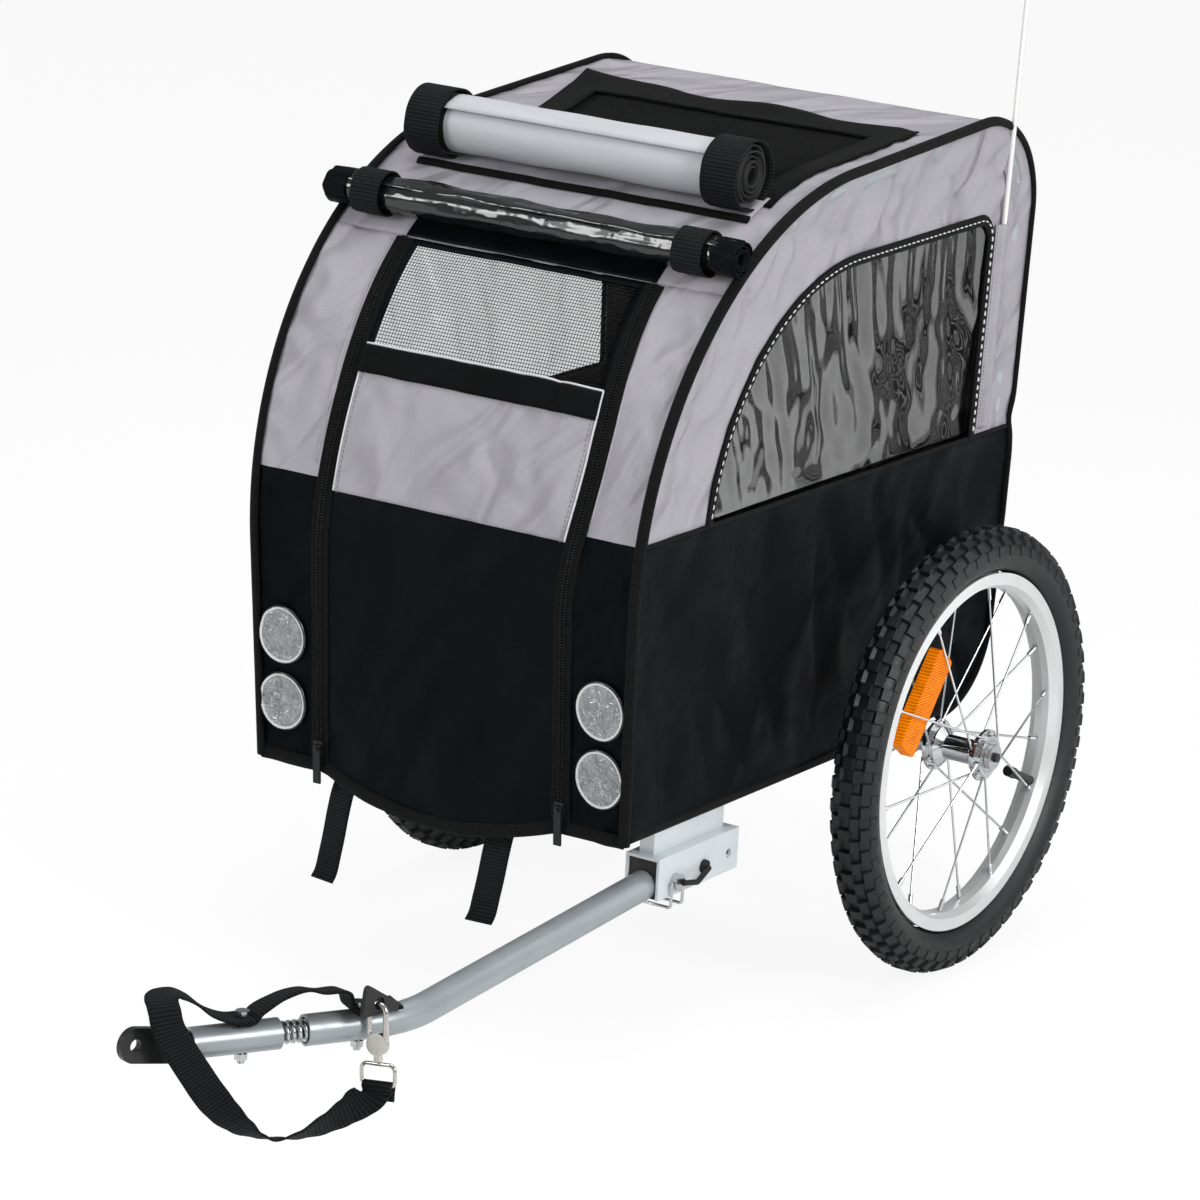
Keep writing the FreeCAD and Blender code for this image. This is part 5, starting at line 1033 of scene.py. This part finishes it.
# Silver film crinkles under its clear vinyl; the weld round it is white and glossy.
silver_film = coated("silver reflective film", "#7C8287", "#B9BEC2", 0.75, (0.2, 0.5), 1 / 95, 0.006,
                     {"Coat Weight": 0.8, "Coat Roughness": 0.08}, (0.014, 0.006), 2.2)
weld = coated("white weld of the vinyl", "#C9CBCC", "#EFF0F0", 0.0, (0.2, 0.4), 0.0016, 0.0006)
vinyl = coated("clear vinyl rim", "#1B1E20", "#32363A", 0.0, (0.12, 0.25), 0.002, 0.0002,
               {"Coat Weight": 0.6})
points, faces = [], []
for side in (1, -1):
    for z in PATCH_HEIGHTS:
        first = len(points)
        for ring in range(PATCH_RINGS + 1):
            share = ring / PATCH_RINGS
            for step in range(PATCH_STEPS):
                turn = 2 * math.pi * step / PATCH_STEPS
                x = side * PATCH_X + PATCH_HALF_WIDTH * share * math.cos(turn)
                run = run_at(z) + PATCH_HALF_HEIGHT * share * math.sin(turn)
                puff = 0.0030 + 0.0007 * (share > 0.86) - 0.0012 * (share == 1)
                puff += ripple((x, run, z), 0.012, 0.0008, 61) * (share < 0.8)
                points.append(front_spot(x, run, puff, 31 + side))
        for ring in range(PATCH_RINGS):
            low = first + ring * PATCH_STEPS
            for step in range(PATCH_STEPS):
                here, beside = low + step, low + (step + 1) % PATCH_STEPS
                faces.append((here, beside, beside + PATCH_STEPS, here + PATCH_STEPS))
discs = form("reflective_patches", points, faces, silver_film)
discs.data.materials.append(weld)
discs.data.materials.append(vinyl)
for index, face in enumerate(discs.data.polygons):
    face.material_index = max(0, index // PATCH_STEPS % PATCH_RINGS - PLAIN_RINGS)
work = bmesh.new()
work.from_mesh(discs.data)
bmesh.ops.remove_doubles(work, verts=work.verts, dist=0.00005)
bmesh.ops.recalc_face_normals(work, faces=work.faces)
work.to_mesh(discs.data)
work.free()
turn_to(discs.data, FORWARD)
thicken(discs, 0.0012)
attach(discs, "chassis")
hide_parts("front_reflectors")

# Rolled covers: the grey roof cover and the clear rain cover, rolled up on the bow and held by straps.
# Each roll is its sheet wound in a spiral, creased along its length; black bands bind the grey one's ends.

COVER_MIDDLE, RAIN_MIDDLE = Vector((0, 0.0659, 0.7295)), Vector((0, -0.0066, 0.6764))
COVER_PLAIN_HALF, ROOT_FRONT, ROOT_RIGHT, ROOT_WIDE = 0.131, run_at(0.6935), -0.162, 0.33


def cover_cloth():
    """Grey proofed cloth, black towards both ends of the roll."""
    material, tree, shader = finish("grey cover with black ends", {"Roughness": 0.7, "Sheen Weight": 0.06})
    where = add(tree, "ShaderNodeTexCoord", {}, "UV")
    spot = add(tree, "ShaderNodeTexCoord", {}, "Object")
    across = add(tree, "ShaderNodeSeparateXYZ", {"Vector": spot}, "X")
    reach = add(tree, "ShaderNodeMath", {0: across}, operation="ABSOLUTE")
    at_end = add(tree, "ShaderNodeMath", {0: reach, 1: COVER_PLAIN_HALF}, operation="GREATER_THAN")
    colour = add(tree, "ShaderNodeMix", {0: at_end, 6: srgb("#C6C9CE"), 7: srgb("#0A0C0E")}, 2,
                 data_type="RGBA")
    fill(tree, shader, {"Base Color": colour, "Normal": weave(tree, where)})
    return material


def rolled(name, middle, material, seed, half, core, radius, turns, thick, crush=1.0):
    """A sheet wound in a spiral about a line across the cabin."""

    def place(i, j):
        turn = 2 * math.pi * turns * j + 1.2
        x = half * (2 * i - 1)
        reach = core + (radius - core) * j
        reach += crush * j * ripple((x * crush, j * 2, 0), 0.05, 0.0022, seed)
        reach -= crush * j * crease((x * 0.3, j * 2, 0), 0.08, 0.0012, seed)
        x += 0.004 * noise.noise(Vector((j * 5, seed, i))) * (2 * i - 1)
        return middle + Vector((x, reach * math.cos(turn), reach * math.sin(turn))), (x, reach * turn)

    piece = cloth(name, place, 60, round(turns * 28), thick, material, (0, 0, 1))
    face_out(piece)
    return piece


roof_roll = rolled("roof_cover", COVER_MIDDLE, cover_cloth(), 71, half=0.163, core=0.008, radius=0.0262,
                   turns=4.2, thick=0.0012, crush=0.7)
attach(roof_roll, "chassis")
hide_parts("roof_cover_roll")
# Several layers of clear film look dark and glossy, with broad dents that catch the light.
rolled_film = coated("clear PVC film in several layers", "#0D0E0F", "#1E2123", 0.0, (0.06, 0.16),
                     0.034, 0.006, {"IOR": 1.54, "Coat Weight": 0.35, "Coat Roughness": 0.04})
rain_roll = rolled("rain_cover", RAIN_MIDDLE, rolled_film, 75, half=0.196, core=0.0128, radius=0.0156,
                   turns=2.2, thick=FILM, crush=1.3)
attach(rain_roll, "chassis")
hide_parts("rain_cover_roll")
rain_hem = rolled("rain_cover_hem", RAIN_MIDDLE, black_cloth, 76, half=0.203, core=0.005, radius=0.0118,
                  turns=2.6, thick=0.0012)
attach(rain_hem, "chassis")
for side in (1, -1):
    middle = RAIN_MIDDLE + Vector((side * 0.192, 0, 0))
    cuff = rolled(f"rain_cover_cuff_{side + 2}", middle, black_cloth, 77 + side, half=0.011, core=0.0148,
                  radius=0.0164, turns=1.4, thick=0.001)
    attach(cuff, "chassis")


def root_place(i, j):
    """A place on the root of the roof cover, which lies on the roof in front of its roll."""
    run = ROOT_FRONT + (VENT_FRONT - 0.008 - ROOT_FRONT) * j
    x = ROOT_RIGHT + ROOT_WIDE * i
    return front_spot(x, run, 0.0022, ROOF_SEED, ROOF_SLACK), (x, run)


root = cloth("roof_cover_root", root_place, 40, 8, 0.0014, grey_cloth, (0, -0.5, 1))
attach(root, "chassis")
spots = evenly(40, lambda share: root_place(share, 0)[0])
root_edge = swept("roof_cover_root_binding", spots, Vector((0, -0.6, 0.8)), 0.008, 0.0042, binding)
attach(root_edge, "chassis")


def between(stations, share):
    """A smooth place and width direction along a strap's stations."""
    spans = len(stations) - 1
    index = min(int(share * spans), spans - 1)
    t = share * spans - index
    pick = [stations[min(max(index + step, 0), spans)] for step in (-1, 0, 1, 2)]
    spot = Vector()
    for (place, _), weight in zip(pick, (-t + 2 * t * t - t ** 3, 2 - 5 * t * t + 3 * t ** 3,
                                         t + 4 * t * t - 3 * t ** 3, t ** 3 - t * t)):
        spot += place * (weight / 2)
    across = pick[1][1].lerp(pick[2][1], t * t * (3 - 2 * t))
    return spot, across.normalized()


def strap(name, stations, wide, thick, material, steps, first=0.0, last=1.0):
    """Webbing that runs through its stations, each a place and the direction of the webbing's width."""
    spots = evenly(steps, lambda share: between(stations, first + (last - first) * share)[0])
    runs = [0.0]
    for here, there in zip(spots, spots[1:]):
        runs.append(runs[-1] + (there - here).length)

    def place(i, j):
        spot, across = between(stations, first + (last - first) * j)
        return spot + across * (wide * (i - 0.5)), (wide * i, runs[round(j * steps)])

    piece = cloth(name, place, 6, steps, thick, material, (0, 0, 1), offset=0)
    face_out(piece)
    return piece, runs[-1]


# Webbing is dull, with ribs that are drawn coarser than the real ones so that they show.
webbing = tape_finish("black polypropylene webbing", "#08090A", "#1D2022", 0.0032)
across_cabin = Vector((1, 0, 0))
for name, x, (_, y, z), radius, wide in (("rain_strap_right", -0.160, RAIN_MIDDLE, 0.0186, 0.028),
                                         ("rain_strap_left", 0.160, RAIN_MIDDLE, 0.0186, 0.028),
                                         ("roof_strap_right", -0.148, COVER_MIDDLE, 0.0292, 0.034),
                                         ("roof_strap_left", 0.148, COVER_MIDDLE, 0.0292, 0.034)):
    stations = []
    for step in range(21):
        turn = math.radians(-150 + 380 * step / 20)
        reach = radius + 0.0011 * (step > 17) + ripple((x, step * 0.02, 0), 0.03, 0.0008, 81)
        stations.append((Vector((x, y + reach * math.cos(turn), z + reach * math.sin(turn))), across_cabin))
    band, length = strap(name, stations, wide, 0.0016, webbing, 80)
    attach(band, "chassis")
    if name == "rain_strap_right":
        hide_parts("roll_straps")

# Door straps: two webbing straps that hang from the front's lower edge, for tying the rolled door.
# Polypropylene webbing with heat-cut ends, drawn through their hanging line.

STRAP_FALL = ((0.004, -0.072, 0.2075), (0.002, -0.086, 0.1995), (0, -0.0945, 0.184),
              (-0.004, -0.0955, 0.163), (-0.010, -0.092, 0.140), (-0.016, -0.0885, 0.120),
              (-0.018, -0.0900, 0.106), (-0.019, -0.0945, 0.0985))
STRAP_WIDE, STRAP_THICK = 0.025, 0.0015
for name, x, turn in (("left_door_strap", 0.058, 0.10), ("right_door_strap", -0.104, -0.16)):
    across = Vector((math.cos(turn), math.sin(turn), 0))
    stations = [(Vector((x + drift, y, z)), across) for drift, y, z in STRAP_FALL]
    tail, length = strap(name, stations, STRAP_WIDE, STRAP_THICK, webbing, 60)
    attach(tail, "chassis")
    if turn > 0:
        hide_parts("door_straps")

# Safety flag: a thin white rod in its sleeve at the rear of the left side, with an orange pennant on top.
# Fibreglass rod, a pennant of coated cloth that waves a little, and a flat grey sleeve sewn to the side.

POLE_Y, POLE_THICK, HEM_THICK = 0.4284, 0.0046, 0.0066
POLE_FOOT, POLE_TIP = Vector((0.1960, POLE_Y, 0.4672)), Vector((0.2257, POLE_Y, 1.4664))
PENNANT_HIGH, PENNANT_LONG, PENNANT_HEM = 0.15, 0.176, 0.148
SLEEVE_LOW, SLEEVE_HIGH, SLEEVE_HALF, SLEEVE_PROUD = 0.4625, 0.1828, 0.0105, 0.0026
SLEEVE_STITCH_PITCH, SLEEVE_STITCH = 0.0034, (0.0007, 0.0007, 0.0022)
REARWARD = Vector((0, 1, 0))
# The rod is smooth and white, and the pennant's coated cloth is bright and matt.
fibreglass = coated("white fibreglass rod", "#E9E9E7", "#F6F6F4", 0.0, (0.3, 0.42), 0.0009, 0.00003)
orange = coated("orange pennant cloth", "#E8520A", "#FB661A", 0.0, (0.55, 0.7), 0.0012, 0.0001)
spots = evenly(60, lambda share: POLE_FOOT.lerp(POLE_TIP, share))
pole = swept("flag_pole", spots, REARWARD, POLE_THICK, POLE_THICK, fibreglass, 12)
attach(pole, "flag")
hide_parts("safety_flag")


def pennant_place(i, j):
    """A place on the pennant: its root lies round the pole and its point trails to the rear."""
    height = PENNANT_HIGH * (1 - 0.97 * i)
    root = POLE_TIP - Vector((0, 0, PENNANT_HIGH / 2))
    wave = 0.005 * math.sin(6.5 * i) * min(1.0, i * 3)
    up = height * (j - 0.5)
    return root + Vector((wave, 0.0026 + PENNANT_LONG * i, up)), (0.18 * i, up)


pennant = cloth("flag_pennant", pennant_place, 40, 20, 0.0006, orange, (1, 0, 0), offset=0)
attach(pennant, "flag")
hem_drop = Vector((0.0297 * PENNANT_HEM, 0, PENNANT_HEM))
spots = evenly(12, lambda share: POLE_TIP - hem_drop * (1 - share))
pennant_hem = swept("flag_pennant_hem", spots, REARWARD, HEM_THICK, HEM_THICK, orange, 12)
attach(pennant_hem, "flag")


def sleeve_place(i, j):
    """A place on the grey sleeve, flat where it is sewn and round over the pole."""
    z = SLEEVE_LOW + SLEEVE_HIGH * j
    share = 2 * i - 1
    puff = SLEEVE_PROUD + ripple((0, i, z), 0.03, 0.0004, 91)
    if abs(share) < 0.6:
        puff += 0.0046 * max(0.0, math.cos(math.pi / 2 * share / 0.6)) ** 0.8
    return Vector((half_width(z) + puff, POLE_Y + SLEEVE_HALF * share, z)), (2 * SLEEVE_HALF * i, z)


sleeve = cloth("flag_sleeve_cloth", sleeve_place, 24, 60, 0.0008, grey_cloth, (1, 0, 0))
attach(sleeve, "chassis")
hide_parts("flag_sleeve")
for across in (0.1, 0.9):
    spots = evenly(40, lambda share: sleeve_place(across, share)[0] + Vector((0.0003, 0, 0)))
    row = beads(f"flag_sleeve_stitching_{round(across * 10)}", spots, SLEEVE_STITCH_PITCH, SLEEVE_STITCH,
                grey_thread)
    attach(row, "chassis")

# Drawbar: a bent steel tube in a channel under the left side, held by a pin with a wire bail and a lanyard.
# Powder-coated tube and channel, zinc pin, black plastic block; all keep their CAD shape.
# The channel's coat is paler than the frame's, e-coat is a thin satin black, and nickel is bright and warm.
pale_paint = coated("pale powder-coated channel", "#D2D9DD", "#E2E8EB", 0.1, (0.28, 0.4), 0.0012, 0.00004)
black_coat = coated("black e-coated steel", "#0E0F10", "#191A1B", 0.2, (0.32, 0.48), 0.0015, 0.00004,
                    {"Coat Weight": 0.2})
nickel = coated("nickel-plated zinc alloy", "#BDBAB4", "#DAD8D2", 1.0, (0.12, 0.25), 0.002, 0.00002)
cord_finish = coated("black braided cord", "#0A0B0C", "#16181A", 0.0, (0.6, 0.8), 0.0012, 0.0003)
dress(silver_paint, "drawbar", "coupler_tube")
dress(pale_paint, "drawbar_bracket")
dress(black_plastic, "drawbar_block", "strap_buckle")
dress(zinc, "lock_pin", "pin_bail", "rear_spring_bolt", "front_spring_bolt")
dress(black_coat, "hitch_plate")
dress(nickel, "snap_hook", "hook_gate", "swivel_loop")
dress(cord_finish, "pin_lanyard")

# Hitch straps: webbing humped over the spring between the two bolts, and the long safety strap that is
# folded at the hitch, hangs in a loop and is sewn round the swivel of the snap hook.
# Black polypropylene webbing through the same stations as the CAD straps; places are in millimetres.

HITCH_CORNER = Vector((0.1735, -0.3896, 0.126))
HITCH_AHEAD, HITCH_OUT = Vector((-0.50603, -0.86251, 0)), Vector((0.86251, -0.50603, 0))
REAR_BOLT, FRONT_BOLT, SPRING_MIDDLE = 40, 137, 96
HITCH_HALVES = (("rear", "chassis", "spring_middle", 85, 95), ("front", "spring_middle", "coupler", 97, 107))
WEBBING_WIDE, SAFETY_THICK, BRIDGE_THICK = 0.026, 0.0018, 0.0024
HUMP_SHARES = ((-0.34, 0), (-0.12, 0), (0.07, 0), (0.14, 0.75), (0.35, 0.85), (0.5, 1), (0.68, 0.8),
               (0.86, 0.35), (0.94, 0), (1.08, 0))
HUMP_LOW, HUMP_RISE, HUMP_CUT_SHARE = 14, 20, 0.603
STRAP_REACH, STRAP_OUT, STRAP_HIGH = 211, 27, 77
STRAP_SHARES = (
    ((0.785, 0, 0.31), (0, 1, 0)), ((0.85, 0, 0.455), (0, 1, 0)), ((0.905, 0, 0.535), (0, 1, 0)),
    ((0.953, 0.1, 0.56), (-0.5, 0.87, 0)), ((0.986, 0.36, 0.56), (-0.87, 0.5, 0)),
    ((1, 0.72, 0.54), (-1, 0, 0)), ((1.002, 0.96, 0.475), (-1, 0, 0.05)),
    ((0.995, 1.02, 0.365), (-1, 0, 0.1)), ((0.962, 0.96, 0.18), (-0.95, 0, 0.3)),
    ((0.922, 0.93, 0), (-0.9, 0, 0.42)),
    ((0.872, 0.91, -0.21), (-0.88, 0, 0.48)), ((0.822, 0.91, -0.415), (-0.83, 0.1, 0.55)),
    ((0.758, 0.93, -0.635), (-0.6, 0.5, 0.6)), ((0.692, 0.95, -0.805), (-0.3, 0.75, 0.55)),
    ((0.62, 0.96, -0.93), (0.1, 0.87, 0.4)), ((0.545, 0.97, -0.99), (0.43, 0.86, 0.27)),
    ((0.455, 0.98, -0.975), (0.45, 0.75, 0.5)), ((0.36, 1, -0.885), (0.4, 0.5, 0.77)),
    ((0.284, 1.02, -0.785), (0.45, 0.2, 0.87)), ((0.222, 1.02, -0.69), (0.55, -0.3, 0.7)))
SEWN_LOOP = ((3.4, -62.5), (3.1, -57), (0, -53.8), (-3.1, -57), (-2.2, -62), (-1.2, -69))
LOOP_BOTTOM = 16 / 27


def hitch_way(along, out, up):
    """A direction in the hitch's own lines, along it, to the outside and up."""
    return HITCH_AHEAD * along + HITCH_OUT * out + Vector((0, 0, up))


def hitch_spot(along, out, up):
    """A point of the hitch, in millimetres from the drawbar's bend."""
    return HITCH_CORNER + hitch_way(along, out, up) / 1000


hump = []
for share, rise in HUMP_SHARES:
    run = REAR_BOLT + (FRONT_BOLT - REAR_BOLT) * share
    hump.append((hitch_spot(run, 1.5 * math.sin(5 * share), HUMP_LOW + HUMP_RISE * rise),
                 hitch_way(0, 1, 0.25 * rise)))
for half, behind, ahead, start, end in HITCH_HALVES:
    first, last = (0.0, HUMP_CUT_SHARE) if half == "rear" else (HUMP_CUT_SHARE, 1.0)
    bridge, length = strap(f"bridge_webbing_{half}", hump, WEBBING_WIDE, BRIDGE_THICK, webbing, 50, first, last)
    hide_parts("bridge_strap")
    tuple(hitch_spot(start, 0, 0))
    tuple(hitch_spot(end, 0, 0))
    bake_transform(bridge)
loop_across = hitch_way(0.5736, -0.8112, -0.114)
stations = [(hitch_spot(FRONT_BOLT + reach, 0, 16.8), hitch_way(0, 1, 0)) for reach in (-6, 11)]
for (along, out, up), across in STRAP_SHARES:
    stations.append((hitch_spot(along * STRAP_REACH, out * STRAP_OUT, up * STRAP_HIGH), hitch_way(*across)))
for out, up in SEWN_LOOP:
    spot = hitch_spot(33.81 + 0.82 * out, 22.01 + 0.568 * out - 0.139 * up, 15.9 + 0.08 * out + 0.99 * up)
    stations.append((spot, loop_across))
safety, length = strap("safety_webbing_front", stations, WEBBING_WIDE, SAFETY_THICK, webbing, 140,
                       last=LOOP_BOTTOM)
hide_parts("safety_strap")
tuple(hitch_spot(131, 26, -66))
tuple(hitch_spot(131, 26, -10))
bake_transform(safety)
tail, length = strap("safety_webbing_rear", stations, WEBBING_WIDE, SAFETY_THICK, webbing, 100,
                     first=LOOP_BOTTOM)
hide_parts("safety_strap")
tuple(hitch_spot(80, 0, 0))
tuple(hitch_spot(112, 0, 0))
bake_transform(tail)

# Hitch spring: one steel coil inside both tube ends, in a rear half and a front half.
# Zinc-plated wire swept along its helix, in two halves that meet at the middle; places are in millimetres.

SPRING_START, SPRING_END, SPRING_TURNS, SPRING_RADIUS = 49.6, 127.4, 15, 7.6
SPRING_WIRE = 0.0036
for half, behind, ahead, start, end in HITCH_HALVES:
    first, last = (SPRING_START, SPRING_MIDDLE) if half == "rear" else (SPRING_MIDDLE, SPRING_END)
    spots, outs = [], []
    for step in range(181):
        run = first + (last - first) * step / 180
        turn = 2 * math.pi * SPRING_TURNS * (run - SPRING_START) / (SPRING_END - SPRING_START)
        spots.append(hitch_spot(run, SPRING_RADIUS * math.cos(turn), SPRING_RADIUS * math.sin(turn)))
        outs.append(hitch_way(0, math.cos(turn), math.sin(turn)))
    coil_half = swept(f"hitch_spring_{half}", spots, outs, SPRING_WIRE, SPRING_WIRE, zinc)
    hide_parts("hitch_spring")
    tuple(hitch_spot(start, 0, 0))
    tuple(hitch_spot(end, 0, 0))
    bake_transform(coil_half)

# Studio: a white floor and sky, soft boxes above, in front and beside, and a striped card for the film.
# The camera stands where the photograph was taken.


def seen_straight(tree):
    """Whether a ray comes from the camera, straight or through clear film."""
    path = add(tree, "ShaderNodeLightPath", {}).node.outputs
    return add(tree, "ShaderNodeMath", {0: path["Is Camera Ray"], 1: path["Is Transmission Ray"]},
               operation="MAXIMUM")


def studio_floor():
    """White paper that shows almost pure white and keeps the shadow."""
    material, tree, shader = finish("white studio floor", {"Base Color": srgb("#F4F4F4"), "Roughness": 0.9})
    glow = add(tree, "ShaderNodeEmission", {"Color": (1, 1, 1, 1), "Strength": 1.06})
    share = add(tree, "ShaderNodeMath", {0: seen_straight(tree), 1: 0.84}, operation="MULTIPLY")
    both = add(tree, "ShaderNodeMixShader", {0: share, 1: shader.outputs[0], 2: glow})
    fill(tree, tree.nodes["Material Output"], {"Surface": both})
    return material


def striped_card():
    """A dark card with a bright near edge and thin bright stripes, for the film to mirror."""
    material, tree, shader = finish("striped studio card", {
        "Base Color": srgb("#17100D"), "Roughness": 0.9, "Emission Color": (1, 1, 1, 1)})
    y = add(tree, "ShaderNodeSeparateXYZ", {"Vector": add(tree, "ShaderNodeTexCoord", {}, "Object")}, "Y")
    near = add(tree, "ShaderNodeMapRange", {"Value": y, "From Min": 0.93, "From Max": 0.82, "To Max": 1.5})
    count = add(tree, "ShaderNodeMath", {0: y, 1: 8.5}, operation="MULTIPLY")
    share = add(tree, "ShaderNodeMath", {0: count}, operation="FRACT")
    stripe = add(tree, "ShaderNodeMath", {0: share, 1: 0.78}, operation="GREATER_THAN")
    glow = add(tree, "ShaderNodeMath", {0: near, 1: stripe}, operation="MAXIMUM")
    fill(tree, shader, {"Emission Strength": glow})
    return material


def lamp(name, spot, aim, width, height, power):
    """A soft box that looks at a point."""
    light = bpy.data.lights.new(name, "AREA")
    light.shape = "RECTANGLE"
    light.size, light.size_y, light.energy = width, height, power
    holder = bpy.data.objects.new(name, light)
    holder.location = spot
    holder.rotation_euler = (Vector(aim) - Vector(spot)).to_track_quat("-Z", "Y").to_euler()
    bpy.context.scene.collection.objects.link(holder)


floor = form("studio_floor", [(-9, -9, 0), (9, -9, 0), (9, 9, 0), (-9, 9, 0)], [(0, 1, 2, 3)],
             studio_floor(), False)
world = bpy.data.worlds.new("studio")
bpy.context.scene.world = world
world.use_nodes = True
sky_tree = world.node_tree
power = add(sky_tree, "ShaderNodeMapRange", {"Value": seen_straight(sky_tree), "To Min": 0.33, "To Max": 1.0})
fill(sky_tree, sky_tree.nodes["Background"], {"Color": (1, 1, 1, 1), "Strength": power})
lamp("top_softbox", (0.2, 0.1, 2.6), (0, 0.1, 0.4), 1.6, 1.6, 24)
lamp("front_softbox", (-1.6, -2.4, 1.6), (0, 0, 0.4), 1.0, 1.0, 31)
lamp("side_softbox", (2.6, -0.6, 1.5), (0, 0.2, 0.4), 0.9, 1.2, 44)
card = form("striped_card", [(0.6, 0.3, 0.12), (0.6, 2.4, 0.12), (0.6, 2.4, 1.0), (0.6, 0.3, 1.0)],
            [(0, 1, 2, 3)], striped_card(), False)
card.visible_diffuse = card.visible_shadow = card.visible_camera = False

AZIMUTH, ELEVATION, ROLL = math.radians(32.699), math.radians(15.430), math.radians(3.250)
CAMERA_SPOT, FOCAL_LENGTH, SENSOR = (2.4335, -3.66445, 1.56911), 163.04, 36
level = Vector((math.cos(AZIMUTH), math.sin(AZIMUTH), 0))
upright = Vector((-math.sin(ELEVATION) * math.sin(AZIMUTH), math.sin(ELEVATION) * math.cos(AZIMUTH),
                  math.cos(ELEVATION)))
back = level.cross(upright)
right = level * math.cos(ROLL) + upright * math.sin(ROLL)
up = upright * math.cos(ROLL) - level * math.sin(ROLL)
lens = bpy.data.cameras.new("photo_camera")
lens.sensor_fit = "HORIZONTAL"
lens.sensor_width = SENSOR
lens.lens = FOCAL_LENGTH
lens.clip_end = 40
camera = bpy.data.objects.new("photo_camera", lens)
camera.matrix_world = Matrix.Translation(CAMERA_SPOT) @ Matrix((right, up, back)).transposed().to_4x4()
bpy.context.scene.collection.objects.link(camera)
bpy.context.scene.camera = camera
bpy.context.scene.view_settings.view_transform = "Standard"
